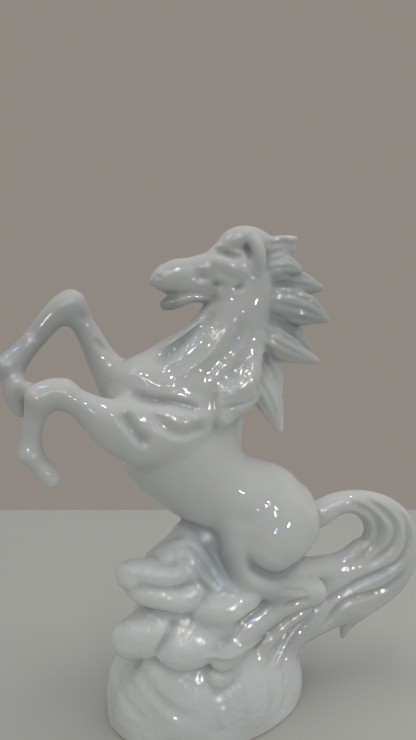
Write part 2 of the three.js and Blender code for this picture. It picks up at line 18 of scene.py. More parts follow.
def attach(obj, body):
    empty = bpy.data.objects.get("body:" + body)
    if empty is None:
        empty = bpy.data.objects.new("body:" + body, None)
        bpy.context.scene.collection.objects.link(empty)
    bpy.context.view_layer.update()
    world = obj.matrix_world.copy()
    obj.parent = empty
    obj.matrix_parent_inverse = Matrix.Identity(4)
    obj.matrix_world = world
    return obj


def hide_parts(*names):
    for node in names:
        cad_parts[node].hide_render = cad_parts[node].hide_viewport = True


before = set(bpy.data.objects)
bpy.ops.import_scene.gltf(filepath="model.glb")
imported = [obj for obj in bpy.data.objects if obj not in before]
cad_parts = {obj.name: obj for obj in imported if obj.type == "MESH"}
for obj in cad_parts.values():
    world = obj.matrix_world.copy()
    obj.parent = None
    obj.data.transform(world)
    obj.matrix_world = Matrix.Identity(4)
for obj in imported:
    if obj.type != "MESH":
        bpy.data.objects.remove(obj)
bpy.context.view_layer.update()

LOG = logging.getLogger("horse")

Stops = tuple[tuple[float, ...], ...]
Window = tuple[slice, slice, slice]

MILLIMETRE = 0.001
FRAME_SHIFT = np.array((12.408, 0.437, 0.0))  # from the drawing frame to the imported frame
CLAY_LOW = (-122.0, -50.0, -2.4)
CLAY_HIGH = (142.0, 50.0, 285.0)
GRAIN = 0.75  # size of a grain of clay
FAR = 30.0  # a distance beyond any that is used
LOOSE = 255  # stands for a grid point that is cut off from its cast
SIDE_SOFT = 8.0  # over how much of the width a mark on one side fades
SIDE_OVERLAP = 2.0  # how far past the mid plane it reaches
LEAST_SECTION = 0.4  # the least half size that a run of clay may shrink to, as a share of its stops
CAP_REACH = 0.7  # how far an end bulges, as a share of its lesser half size
SEAT_STEP = 0.4  # the longest step of a point on its way to the surface, in grains
LEAST_SLOPE = 0.05  # keeps steps short where the distances hardly change
CUT_DEPTH = 0.1  # the distance given to a crumb that is dropped, in grains
FILL_DEPTH = -0.02  # the distance given to a grid point that is filled, in grains
POOL_AND_SHADE_RANGE = 0.3  # how much more clay than half is round a point where the glaze pools thickest and the painted shade in hollows is darkest
MARK_RIPPLE = 0.6  # how uneven the surface is at a tool mark
ACROSS = np.array((0.0, 1.0, 0.0))  # across the figure: the width of a section lies along it
WARM_SPOTS = (
    (8.0, -3.0, 274.0, 6.0, 0.25),
    (-99.0, -10.0, 194.5, 4.5, 0.7),
    (-63.0, -4.0, 188.5, 6.0, 0.45),
    (-54.0, 4.0, 203.0, 6.0, 0.25),
)  # x, y, z, reach and strength
HORSE_DARKENING = 0.3  # how much darker, toward the pooled colour, the horse is than the rock
RIM_BARE = (0.0005, 0.0014)  # the heights between which the wiped foot rim turns to glaze, in metres
BARE_ROUGHNESS = 0.55  # how much duller the body is where it isn't glazed
PAINTED_SHADE_SPOTS = (
    (-2.0, -24.0, 94.0, 16.0, 0.9),
    (-23.0, -5.0, 238.0, 6.0, 0.9),
    (0.0, -42.0, 5.0, 40.0, 0.25),
    (54.0, 0.0, 236.0, 28.0, 0.5),
    (-94.0, 8.0, 212.0, 27.0, 0.5),
    (32.0, -26.0, 76.0, 12.0, 0.3),
    (52.0, -16.0, 40.0, 20.0, 0.2),
)  # the same for painted shade: spots darkened toward the pooled colour where the figure lies in shade
GLAZE_INDEX = 1.52  # how strongly the glaze bends light
FIGURE_MIDDLE = Vector((0.0, 0.0, 0.14))  # what the lights face, in metres
LAMP_WHITE = (1.0, 0.99, 0.96)
LAMP_BLUE = (0.15, 0.5, 1.0)


class Glaze(Enum):
    """The record's two material slots."""

    HORSE = "horse_glaze"
    ROCK = "rock_glaze"


class Side(Enum):
    """The part of the figure that a tool mark is made on."""

    NEAR = "near"
    FLANKS = "flanks"
    THROUGH = "through"

    def weight(self, y: np.ndarray) -> np.ndarray:
        """Finds how strongly a mark is made across the figure.

        Args:
            y: Distances from the mid plane, negative on the near side.

        Returns:
            A weight from 0 to 1 for each.
        """
        if self is Side.THROUGH:
            return np.ones_like(y)
        reach = np.abs(y) if self is Side.FLANKS else SIDE_OVERLAP - y
        return ease(reach / SIDE_SOFT)


@dataclass(frozen=True)
class Bone:
    """A run of clay over stops of (x, y, z, depth in the mid plane, width across).

    Attributes:
        stops: The stops from one end to the other.
        square: The power of the section's outline: 2 is an ellipse, more has square shoulders.
    """

    stops: Stops
    square: float = 2.0

    def mirrored(self) -> "Bone":
        """Returns the same run on the other side of the mid plane."""
        stops = tuple((x, -y, z, depth, width) for x, y, z, depth, width in self.stops)
        return Bone(stops, self.square)


@dataclass(frozen=True)
class Cast:
    """One cast of the figure.

    Attributes:
        name: The CAD node that the cast stands for.
        bones: The runs of clay that it is made of.
        glaze: Its material slot.
        blend: How wide the slip fills the corner where it is luted on.
        ripple: How uneven its surface is under the glaze, from 0 to 1.
    """

    name: str
    bones: tuple[Bone, ...]
    glaze: Glaze = Glaze.HORSE
    blend: float = 3.0
    ripple: float = 0.0


@dataclass(frozen=True)
class Stroke:
    """A tool mark drawn on the side of the figure along (x, z) points.

    Attributes:
        points: The line of the mark.
        width: From its middle to its edge.
        height: How far it stands out, or how deep it goes if negative.
        fades: The share of its length over which it fades in and out.
    """

    points: tuple[tuple[float, float], ...]
    width: float
    height: float
    fades: tuple[float, float] = (0.25, 0.25)

    def draw(self, relief: np.ndarray, xs: np.ndarray, zs: np.ndarray) -> None:
        """Adds the mark to a relief of the side view.

        Args:
            relief: Heights over xs and zs, changed in place.
            xs: The x of each row.
            zs: The z of each column.
        """
        path = smooth_rows(np.array(self.points, float))
        steps = np.linalg.norm(np.diff(path, axis=0), axis=1)
        shares = np.concatenate(([0.0], np.cumsum(steps))) / steps.sum()
        low, high = path.min(0) - self.width, path.max(0) + self.width
        rows = slice(*np.searchsorted(xs, (low[0], high[0])))
        columns = slice(*np.searchsorted(zs, (low[1], high[1])))
        x, z = np.meshgrid(xs[rows], zs[columns], indexing="ij")
        nearest = np.full(x.shape, self.width)
        share = np.zeros(x.shape)
        for start, end, first, last in zip(path[:-1], path[1:], shares[:-1], shares[1:]):
            along = end - start
            t = ((x - start[0]) * along[0] + (z - start[1]) * along[1]) / (along @ along)
            t = np.clip(t, 0.0, 1.0)
            away = np.hypot(x - start[0] - t * along[0], z - start[1] - t * along[1])
            closer = away < nearest
            nearest = np.where(closer, away, nearest)
            share = np.where(closer, first + (last - first) * t, share)
        fade = ease(share / self.fades[0]) * ease((1.0 - share) / self.fades[1])
        relief[rows, columns] += self.height * fade * (1.0 - (nearest / self.width) ** 2) ** 2


@dataclass
class Skin:
    """The outside of one cast, ready to become a mesh.

    Attributes:
        points: Vertices in the drawing frame.
        normals: Outward directions of the clay's surface at the vertices.
        pool: How far each vertex is darkened toward the pooled colour, from 0 to 1: glaze pooling and painted
            shade in hollows, and painted shade spots.
        ripple: How uneven the surface is at each vertex, from 0 to 1.
        warm: How warm the colour is at each vertex, from 0 to 1.
        lute: 1 where a vertex lies on a luting face inside the figure, otherwise 0.
        quads: Faces as rows of four vertices.
    """

    points: np.ndarray
    normals: np.ndarray
    pool: np.ndarray
    ripple: np.ndarray
    warm: np.ndarray
    lute: np.ndarray
    quads: np.ndarray


def ease(share: np.ndarray) -> np.ndarray:
    """Returns a smooth step from 0 to 1 as the share goes from 0 to 1."""
    share = np.clip(share, 0.0, 1.0)
    return share * share * (3.0 - 2.0 * share)


def smooth_rows(rows: np.ndarray, steps: int = 5) -> np.ndarray:
    """Puts a smooth curve through rows of numbers.

    Args:
        rows: One row for each stop.
        steps: How many steps to make between two stops.

    Returns:
        The rows of the curve, with every stop on it.
    """
    padded = np.vstack((2 * rows[0] - rows[1], rows, 2 * rows[-1] - rows[-2]))
    found = []
    for before, start, end, after in zip(padded, padded[1:], padded[2:], padded[3:]):
        for t in np.arange(steps) / steps:
            bend = 2 * before - 5 * start + 4 * end - after
            twist = -before + 3 * start - 3 * end + after
            found.append(start + 0.5 * t * (end - before + t * (bend + t * twist)))
    found.append(rows[-1])
    return np.array(found)


def melt(first: np.ndarray, second: np.ndarray, blend: float) -> np.ndarray:
    """Joins two distance fields with a soft fillet.

    Args:
        first: Distances to one surface.
        second: Distances to the other.
        blend: The width of the fillet.

    Returns:
        Distances to the joined surface.
    """
    near = np.maximum(blend - np.abs(first - second), 0.0)
    return np.minimum(first, second) - near * near * (0.25 / blend)


def stretch_distance(axes: list[np.ndarray], start: np.ndarray, end: np.ndarray, bone: Bone) -> np.ndarray:
    """Measures how far points are from one straight stretch of a bone.

    Args:
        axes: The x, y and z of a window of points.
        start: The stop at the start of the stretch, with half sizes.
        end: The stop at its end, with half sizes.
        bone: The bone, for its section.

    Returns:
        Distances over the window, negative inside.
    """
    along = end[:3] - start[:3]
    length = np.linalg.norm(along)
    along = along / length
    across = ACROSS - along * (ACROSS @ along)
    across /= np.linalg.norm(across)
    deep = np.cross(across, along)
    x = (axes[0] - np.float32(start[0]))[:, None, None]
    y = (axes[1] - np.float32(start[1]))[None, :, None]
    z = (axes[2] - np.float32(start[2]))[None, None, :]

    def lengthwise(direction: np.ndarray) -> np.ndarray:
        """Returns how far each point lies along a direction."""
        return x * np.float32(direction[0]) + y * np.float32(direction[1]) + z * np.float32(direction[2])

    reach = lengthwise(along)
    inner = np.clip(reach, 0.0, np.float32(length))
    share = reach * np.float32(1.0 / length)
    least = np.float32(LEAST_SECTION * min(start[3:].min(), end[3:].min()))
    depth = np.maximum(np.float32(start[3]) + np.float32(end[3] - start[3]) * share, least)
    width = np.maximum(np.float32(start[4]) + np.float32(end[4] - start[4]) * share, least)
    cap = np.float32(CAP_REACH) * np.minimum(depth, width)
    over = ((reach - inner) / cap) ** 2
    aside = lengthwise(across) / width
    ahead = lengthwise(deep) / depth
    if bone.square > 2.0:
        side, front = np.abs(aside) + np.float32(1e-4), np.abs(ahead) + np.float32(1e-4)
        power = np.float32(bone.square)
        round_size = (side**power + front**power) ** (1 / power)
        bend = 2 * power - 2
        steep = (side / round_size) ** bend / width**2 + (front / round_size) ** bend / depth**2
        size = np.sqrt(over + round_size**2)
        slope = over / cap**2 + steep * round_size**2
    else:
        side, front = aside * aside, ahead * ahead + np.float32(1e-5)
        size = np.sqrt(over + side + front)
        slope = over / cap**2 + side / width**2 + front / depth**2
    return (size - 1.0) * size / np.sqrt(slope)


def grid_strides(shape: tuple[int, ...]) -> np.ndarray:
    """Returns how far apart neighbours along each axis are in a grid's numbering."""
    return np.array((shape[1] * shape[2], shape[2], 1))


def ring_cells(first: np.ndarray, axis: int, strides: np.ndarray) -> np.ndarray:
    """Finds the four cells round edges of a grid.

    Args:
        first: The lower end of each edge.
        axis: The axis that the edges run along.
        strides: How far apart neighbours are in the grid's numbering.

    Returns:
        Rows of four cells, in order round the axis.
    """
    u, v = strides[(axis + 1) % 3], strides[(axis + 2) % 3]
    return np.stack((first - u - v, first - v, first, first - u), 1)


class Clay:
    """A block of clay: a grid of distances to its surface and of the casts that own it."""

    def __init__(self, low: tuple[float, ...], high: tuple[float, ...], grain: float) -> None:
        """Makes an empty block.

        Args:
            low: Its lowest corner.
            high: Its highest corner.
            grain: The size of a grain.
        """
        self.low = np.array(low, np.float32)
        self.grain = grain
        counts = np.ceil((np.array(high) - self.low) / grain).astype(int) + 1
        steps = [np.float32(grain) * np.arange(count, dtype=np.float32) for count in counts]
        self.axes = [low + step for low, step in zip(self.low, steps)]
        self.field = np.full(counts, FAR, np.float32)
        self.owner = np.zeros(counts, np.uint8)
        self.casts: list[Cast] = []
        self.worked = np.zeros((counts[0], 1, counts[2]), np.float32)

    def window(self, low: np.ndarray, high: np.ndarray) -> Window:
        """Finds the part of the grid that holds a box.

        Args:
            low: The box's lowest corner.
            high: Its highest corner.

        Returns:
            Slices of the grid.
        """
        first = np.floor((low - self.low) / self.grain).astype(int)
        last = np.ceil((high - self.low) / self.grain).astype(int) + 1
        return tuple(slice(max(a, 0), max(min(b, n), 0)) for a, b, n in zip(first, last, self.field.shape))

    def measure(self, bone: Bone, margin: float) -> tuple[Window, np.ndarray]:
        """Measures the distances to a bone.

        Args:
            bone: The bone.
            margin: How far round it the distances are needed.

        Returns:
            The window round the bone, and the distances in it.
        """
        rows = smooth_rows(np.array(bone.stops, float))
        rows[:, 3:] *= 0.5
        reach = rows[:, 3:].max(1, keepdims=True) + margin
        low, high = rows[:, :3] - reach, rows[:, :3] + reach
        whole = self.window(low.min(0), high.max(0))
        distance = np.full([s.stop - s.start for s in whole], FAR, np.float32)
        for i in range(len(rows) - 1):
            part = self.window(np.minimum(low[i], low[i + 1]), np.maximum(high[i], high[i + 1]))
            axes = [axis[s] for axis, s in zip(self.axes, part)]
            inner = tuple(slice(p.start - w.start, p.stop - w.start) for p, w in zip(part, whole))
            view = distance[inner]
            np.minimum(view, stretch_distance(axes, rows[i], rows[i + 1], bone), out=view)
        return whole, distance

    def lay(self, cast: Cast) -> None:
        """Lutes a cast on, with slip in the corners.

        Args:
            cast: The cast.
        """
        self.casts.append(cast)
        for bone in cast.bones:
            box, distance = self.measure(bone, cast.blend + 2 * self.grain)
            self.join(box, distance, cast.blend)

    def join(self, box: Window, distance: np.ndarray, blend: float) -> None:
        """Joins a shape to the clay, owned by the latest cast.

        Args:
            box: The window that the distances fill.
            distance: Distances to the shape.
            blend: The width of the fillet.
        """
        field = self.field[box]
        self.owner[box][distance < field] = len(self.casts)
        self.field[box] = melt(field, distance, blend)

    def press(self, strokes: list[Stroke], side: Side) -> None:
        """Presses tool marks into one side or both.

        Args:
            strokes: The marks.
            side: Where they are made.
        """
        relief = np.zeros((self.field.shape[0], self.field.shape[2]))
        for stroke in strokes:
            stroke.draw(relief, self.axes[0], self.axes[2])
        rows, columns = np.nonzero(np.abs(relief) > 1e-4)
        area = slice(rows.min(), rows.max() + 1), slice(columns.min(), columns.max() + 1)
        weight = side.weight(self.axes[1])
        mark = relief[area][:, None, :] * weight[None, :, None]
        self.field[area[0], :, area[1]] -= mark.astype(np.float32)
        near = np.clip(np.abs(relief[area]), 0.0, 1.0)
        self.worked[area[0], 0, area[1]] = np.maximum(self.worked[area[0], 0, area[1]], near)

    def soften(self, rounds: int) -> None:
        """Rounds off creases and edges as a coat of glaze does.

        Args:
            rounds: How often to go over the clay.
        """
        for _ in range(rounds):
            for axis in range(3):
                f = np.moveaxis(self.field, axis, 0)
                before = f[:-2] + f[2:]
                f[1:-1] = 0.5 * f[1:-1] + 0.25 * before

    def sample(self, grid: np.ndarray, points: np.ndarray, grain: float) -> np.ndarray:
        """Reads a grid between its points.

        Args:
            grid: Values on a grid that starts at the block's lowest corner.
            points: Where to read it.
            grain: The size of the grid's steps.

        Returns:
            One value for each point.
        """
        place = (points - self.low) / grain
        cell = np.clip(place.astype(int), 0, np.array(grid.shape) - 2)
        t = (place - cell).astype(np.float32)
        strides = grid_strides(grid.shape)
        first = cell @ strides
        flat = grid.ravel()
        found = np.zeros(len(points), np.float32)
        for corner in np.ndindex(2, 2, 2):
            share = np.prod(np.where(corner, t, 1.0 - t), axis=1)
            found += share * flat[first + np.array(corner) @ strides]
        return found

    def slope(self, points: np.ndarray) -> np.ndarray:
        """Finds the direction in which the distance grows.

        Args:
            points: Where to look.

        Returns:
            One direction for each point, not normalised.
        """
        found = np.empty((len(points), 3), np.float32)
        for axis in range(3):
            step = np.zeros(3, np.float32)
            step[axis] = self.grain
            ahead = self.sample(self.field, points + step, self.grain)
            found[:, axis] = (ahead - self.sample(self.field, points - step, self.grain)) / (2 * self.grain)
        return found

    def clouded(self, values: np.ndarray, points: np.ndarray) -> np.ndarray:
        """Blurs a grid over a few millimetres and reads it.

        Args:
            values: Values over the grid.
            points: Where to read them.

        Returns:
            One blurred value for each point.
        """
        block = 4
        counts = [n // block for n in values.shape]
        whole = values[tuple(slice(n * block) for n in counts)]
        coarse = whole.reshape(counts[0], block, counts[1], block, counts[2], block).mean((1, 3, 5))
        for axis in range(3):
            c = np.moveaxis(coarse, axis, 0)
            for _ in range(3):
                c[1:-1] = (c[:-2] + c[1:-1] + c[2:]) / 3.0
        middle = points - np.float32(0.5 * (block - 1) * self.grain)
        return self.sample(np.ascontiguousarray(coarse), middle, block * self.grain)

    def thickness(self, points: np.ndarray) -> np.ndarray:
        """Finds how far the surface is darkened toward the pooled colour: glaze pooling and painted shade in
        hollows, the horse darker than the rock, and painted shade spots.

        Args:
            points: Points on the surface.

        Returns:
            A value from 0, thin, upwards.
        """
        solid = np.clip(0.5 - self.field / self.grain, 0.0, 1.0)
        filled = self.clouded(solid, points)
        horse = np.array([False, *(cast.glaze is Glaze.HORSE for cast in self.casts)])
        solid *= horse[self.owner]
        body = self.clouded(solid, points) / np.maximum(filled, 0.05)
        # glaze pooling in hollows, together with painted shade where the hollows lie in shade
        pool = np.clip((filled - 0.5) / POOL_AND_SHADE_RANGE, 0.0, 1.0)
        return pool + HORSE_DARKENING * ease(body) + self.spots(PAINTED_SHADE_SPOTS, points)

    @staticmethod
    def spots(marks: Stops, points: np.ndarray) -> np.ndarray:
        """Adds up soft spots.

        Args:
            marks: The spots as x, y, z, reach and strength.
            points: Where they are wanted.

        Returns:
            The strength at each point.
        """
        found = np.zeros(len(points), np.float32)
        for x, y, z, reach, strength in marks:
            found += strength * np.exp(-((points - np.array((x, y, z))) ** 2).sum(1) / reach**2)
        return found

    @staticmethod
    def settle(labels: np.ndarray, rounds: int = 6) -> None:
        """Moves seams so that no face between two casts lies in the outer skin.

        Args:
            labels: The cast that owns each grid point, 0 for air, changed in place.
            rounds: How often to look at most.
        """
        strides = grid_strides(labels.shape)
        flat, buried = labels.reshape(-1), labels > 0
        for axis in range(3):
            along = np.moveaxis(buried, axis, 0)
            along[:-1] &= along[1:]
        buried = buried.reshape(-1)
        for _ in range(rounds):
            moved = 0
            for axis in range(3):
                along = np.moveaxis(labels, axis, 0)
                seam = (along[1:] != along[:-1]) & (along[1:] > 0) & (along[:-1] > 0)
                first = np.stack(np.nonzero(np.moveaxis(seam, 0, axis)), 1) @ strides
                bare = first[~buried[ring_cells(first, axis, strides)].any(1)]
                flat[bare] = flat[bare + strides[axis]]
                moved += len(bare)
            if not moved:
                return

    def gather(self, labels: np.ndarray) -> None:
        """Gives crumbs of a cast that later casts cut off to the cast round them.

        Args:
            labels: The cast that owns each grid point, 0 for air, changed in place.
        """
        for number in range(1, len(self.casts) + 1):
            mine = labels == number
            spans = [np.flatnonzero(mine.any(axis=tuple({0, 1, 2} - {axis}))) for axis in range(3)]
            box = tuple(slice(span[0], span[-1] + 1) for span in spans)
            labels[box][self.crumbs(mine[box])] = LOOSE
        places = np.argwhere(labels == LOOSE)
        steps = [sign * row for row in np.eye(3, dtype=int) for sign in (1, -1)]
        while len(places):
            found = np.zeros(len(places), np.uint8)
            for step in steps:
                beside = labels[tuple((places + step).T)]
                found = np.where((found == 0) & (beside != LOOSE), beside, found)
            if not found.any():
                break
            labels[tuple(places[found > 0].T)] = found[found > 0]
            places = places[found == 0]
        labels[tuple(places.T)] = 0
        self.field[tuple(places.T)] = CUT_DEPTH * self.grain

    @staticmethod
    def crumbs(mask: np.ndarray) -> np.ndarray:
        """Finds what doesn't hang together with the largest part of a mask.

        Args:
            mask: The grid points of one cast.

        Returns:
            A mask of the smaller parts.
        """
        left, largest, most = mask.copy(), mask, 0
        while left.any():
            reached = np.zeros_like(mask)
            reached.flat[np.argmax(left)] = True
            count = 0
            while reached.sum() > count:
                count = int(reached.sum())
                for axis in range(3):
                    r, m = np.moveaxis(reached, axis, 0), np.moveaxis(mask, axis, 0)
                    for i in range(1, len(r)):
                        r[i] |= r[i - 1] & m[i]
                    for i in range(len(r) - 2, -1, -1):
                        r[i] |= r[i + 1] & m[i]
            left &= ~reached
            if count > most:
                largest, most = reached, count
        return mask & ~largest

    def mend(self, labels: np.ndarray, rounds: int = 20) -> None:
        """Fills grid points so that no cast touches itself along a mere edge.

        Args:
            labels: The cast that owns each grid point, 0 for air, changed in place.
            rounds: How often to look at most.
        """
        strides = grid_strides(labels.shape)
        flat, depth = labels.reshape(-1), self.field.reshape(-1)
        for turn in range(rounds):
            mended = 0
            for one, other in ((0, 1), (1, 2), (0, 2)):
                low, high = [slice(None)] * 3, [slice(None)] * 3
                low[one] = low[other] = slice(None, -1)
                high[one] = high[other] = slice(1, None)
                side, beside = list(low), list(low)
                side[one], beside[other] = slice(1, None), slice(1, None)
                a, b, c, d = (labels[tuple(part)] for part in (low, side, beside, high))
                u, v = strides[one], strides[other]
                cross = (a == d) & (a > 0) & (b != a) & (c != a)
                back = (b == c) & (b > 0) & (a != b) & (d != b)
                for pattern, kept, first, second in ((cross, 0, u, v), (back, u, 0, u + v)):
                    corner = np.stack(np.nonzero(pattern), 1) @ strides
                    firsts, seconds = corner + first, corner + second
                    if turn % 2:
                        firsts, seconds = seconds, firsts
                    swap = (flat[firsts] == 0) & ((flat[seconds] > 0) | (depth[seconds] < depth[firsts]))
                    chosen = np.where(swap, seconds, firsts)
                    airy = chosen[flat[chosen] == 0]
                    flat[chosen] = flat[corner + kept]
                    depth[airy] = FILL_DEPTH * self.grain
                    mended += len(chosen)
            if not mended:
                return

    def part(self) -> dict[str, Skin]:
        """Parts the clay along its luting seams.

        Returns:
            The skin of each cast, by name.
        """
        labels = np.where(self.field < 0.0, self.owner, 0).astype(np.uint8)
        formed = self.field.copy()
        self.settle(labels)
        self.gather(labels)
        self.mend(labels)
        strides = grid_strides(labels.shape)
        quads, casts = self.faces(labels, strides)
        cells, quads = np.unique(quads, return_inverse=True)
        quads = quads.reshape(-1, 4)
        points, outer = self.cell_points(labels, cells, strides)
        self.field = formed
        normals = np.zeros_like(points)
        points[outer], normals[outer] = self.seat(points[outer])
        # darkening toward the pooled colour: glaze pooling and painted shade in hollows, the horse darker
        # than the rock, and painted shade spots
        pool = np.zeros(len(points), np.float32)
        pool[outer] = self.thickness(points[outer])
        ripple = self.unevenness(points)
        warm = self.spots(WARM_SPOTS, points)
        skins = {}
        for number, cast in enumerate(self.casts, 1):
            mine = quads[casts == number]
            used, mine = np.unique(mine, return_inverse=True)
            mine = mine.reshape(-1, 4)
            lute = (~outer[used]).astype(np.float32)
            rough = np.maximum(ripple[used] * MARK_RIPPLE, cast.ripple).astype(np.float32)
            tint = np.clip(warm[used], 0.0, 1.0).astype(np.float32)
            # this mark holds both glaze pooling and painted shade
            coat = np.clip(pool[used], 0.0, 1.0).astype(np.float32)
            skins[cast.name] = Skin(points[used], normals[used], coat, rough, tint, lute, mine)
        return skins

    @staticmethod
    def faces(labels: np.ndarray, strides: np.ndarray) -> tuple[np.ndarray, np.ndarray]:
        """Lists the faces between grid points that different casts own.

        Args:
            labels: The cast that owns each grid point, 0 for air.
            strides: How far apart neighbours are in the grid's numbering.

        Returns:
            Rows of four cells for each face, seen from either side, and the cast on that side.
        """
        quads, casts = [], []
        flat = labels.ravel()
        for axis in range(3):
            below = np.moveaxis(labels, axis, 0)
            crossing = np.moveaxis(below[1:] != below[:-1], 0, axis)
            first = np.stack(np.nonzero(crossing), 1) @ strides
            ring = ring_cells(first, axis, strides)
            quads += [ring, ring[:, ::-1]]
            casts += [flat[first], flat[first + strides[axis]]]
        return np.concatenate(quads), np.concatenate(casts)

    def seat(self, points: np.ndarray, rounds: int = 2) -> tuple[np.ndarray, np.ndarray]:
        """Moves points on to the clay's surface.

        Args:
            points: Points near the surface.
            rounds: How often to move them.

        Returns:
            The moved points, and the outward direction at each.
        """
        limit = np.float32(SEAT_STEP * self.grain)
        for _ in range(rounds):
            slope = self.slope(points)
            size = np.maximum((slope**2).sum(1, keepdims=True), LEAST_SLOPE)
            step = slope * (self.sample(self.field, points, self.grain)[:, None] / size)
            points = points - np.clip(step, -limit, limit)
        slope = self.slope(points)
        return points, slope / np.maximum(np.linalg.norm(slope, axis=1, keepdims=True), 1e-6)

    def unevenness(self, points: np.ndarray, rounds: int = 12) -> np.ndarray:
        """Finds how uneven the surface is near tool marks.

        Args:
            points: Points on the surface.
            rounds: How often the marks are blurred.

        Returns:
            A value from 0 to 1 for each point.
        """
        worked = np.repeat(self.worked, 2, axis=1)
        for axis in (0, 2):
            w = np.moveaxis(worked, axis, 0)
            for _ in range(rounds):
                w[1:-1] = (w[:-2] + w[1:-1] + w[2:]) / 3.0
        level = points * (1, 0, 1) + np.array((0, self.low[1], 0))
        return np.clip(2.0 * self.sample(worked, level, self.grain), 0.0, 1.0)

    def cell_points(
        self, labels: np.ndarray, cells: np.ndarray, strides: np.ndarray
    ) -> tuple[np.ndarray, np.ndarray]:
        """Finds where the surfaces pass through cells of the grid.

        Args:
            labels: The cast that owns each grid point, 0 for air.
            cells: The cells, by the number of their lowest corner.
            strides: How far apart neighbours are in the grid's numbering.

        Returns:
            One point in each cell, and whether the cell touches the air.
        """
        flat_field, flat_labels = self.field.ravel(), labels.ravel()
        corners = list(np.ndindex(2, 2, 2))
        numbers = [cells + np.array(corner) @ strides for corner in corners]
        depth = np.stack([flat_field[n] for n in numbers], 1)
        label = np.stack([flat_labels[n] for n in numbers], 1)
        outer = (label == 0).any(1)
        total = np.zeros((len(cells), 3), np.float32)
        count = np.zeros(len(cells), np.float32)
        for a, b in ((a, b) for a in range(8) for b in range(a + 1, 8)):
            way = np.array(corners[b]) - np.array(corners[a])
            if np.abs(way).sum() != 1 or way.min() < 0:
                continue
            airy = (label[:, a] == 0) != (label[:, b] == 0)
            crossed = np.where(outer, airy, label[:, a] != label[:, b])
            t = np.full(len(cells), 0.5, np.float32)
            t[airy] = depth[airy, a] / (depth[airy, a] - depth[airy, b])
            spot = np.array(corners[a], np.float32) + t[:, None] * way.astype(np.float32)
            total += np.where(crossed[:, None], spot, 0.0)
            count += crossed
        place = np.stack(np.unravel_index(cells, labels.shape), 1).astype(np.float32)
        points = self.low + np.float32(self.grain) * (place + total / np.maximum(count, 1.0)[:, None])
        return points, outer


class SubAssembly:
    """A group of casts that are modelled together."""

    def casts(self) -> list[Cast]:
        """Returns the casts in the order in which they are luted."""
        raise NotImplementedError

    def build(self, clay: Clay) -> None:
        """Lays the casts."""
        for cast in self.casts():
            clay.lay(cast)

    def detail(self, clay: Clay) -> None:
        """Makes the tool marks once every cast is luted."""

    def dress(
        self, skins: dict[str, Skin], finishes: dict[Glaze, bpy.types.Material]
    ) -> list[bpy.types.Object]:
        """Turns the skins into glazed pieces.

        Args:
            skins: Every cast's skin.
            finishes: The material of each glaze.

        Returns:
            One object for each cast.
        """
        return [make_piece(cast, skins[cast.name], finishes[cast.glaze]) for cast in self.casts()]


@dataclass
class Trunk(SubAssembly):
    """Chest, barrel, loin and croup, with the neck that grows out of them."""

    body: Stops = (
        (-41, 0, 199, 30, 36),
        (-38, 0, 188, 44, 44),
        (-32, 0, 173.5, 57, 50),
        (-16, 0, 153.5, 64, 56),
        (6, 0, 129, 52, 50),
        (33, 0, 113.5, 58, 52),
        (51, 0, 105.5, 47, 46),
    )
    shoulder: Stops = ((-43, -18, 168, 34, 24), (-24, -20.5, 170, 34, 22), (-9, -18.5, 174, 21, 16))
    neck: Stops = (
        (-13, 0, 185.5, 71, 46),
        (7.5, 0, 212, 49, 34),
        (20.5, 0, 237.5, 36.5, 29.5),
        (24.5, 0, 253.5, 28, 25),
    )
    folds: tuple[Stroke, ...] = (
        Stroke(((-50, 191.5), (-44.6, 189.9), (-33.2, 186.6), (-21.5, 184.7), (-3.6, 179.5)), 5.0, -2.4),
        Stroke(((-38, 183.5), (-29.1, 174.8), (-21.8, 170.8), (-12.9, 171.8), (-2.3, 175.1)), 5.0, -2.3),
        Stroke(((-51.5, 184), (-49.1, 180.3), (-45, 172.9), (-39.4, 167.5), (-35.1, 165.8)), 5.0, -3.0),
        Stroke(((0.4, 193), (-0.7, 185.2), (-0.4, 176.1), (-1.1, 165)), 2.2, -0.8),
    )
    sinews: tuple[Stroke, ...] = (
        Stroke(((6, 236), (-5, 225.5), (-15, 216.5), (-26, 208.8), (-36, 204)), 4.6, -3.0),
        Stroke(((18, 232.6), (13.9, 220.5), (4.2, 208.5), (-13, 195)), 6.0, -1.3),
        Stroke(((1, 232), (-8, 226), (-18, 219.5), (-31, 212)), 2.2, 1.7),
        Stroke(((1, 230), (-10.5, 219), (-19.5, 209.5), (-31, 200.5)), 2.0, 1.4),
        Stroke(((10, 227), (-1, 212.5), (-12, 203.5), (-26, 196.5)), 2.4, 0.6),
    )

    def casts(self) -> list[Cast]:
        """Lists the casts of the body.

        Returns:
            The trunk and the neck.
        """
        shoulder = Bone(self.shoulder)
        trunk = (Bone(self.body), shoulder, shoulder.mirrored())
        return [Cast("trunk", trunk, blend=2.5), Cast("neck", (Bone(self.neck),), blend=9.0)]

    def detail(self, clay: Clay) -> None:
        """Presses the skin folds of the chest and the sinews of the neck."""
        clay.press(list(self.folds + self.sinews), Side.FLANKS)


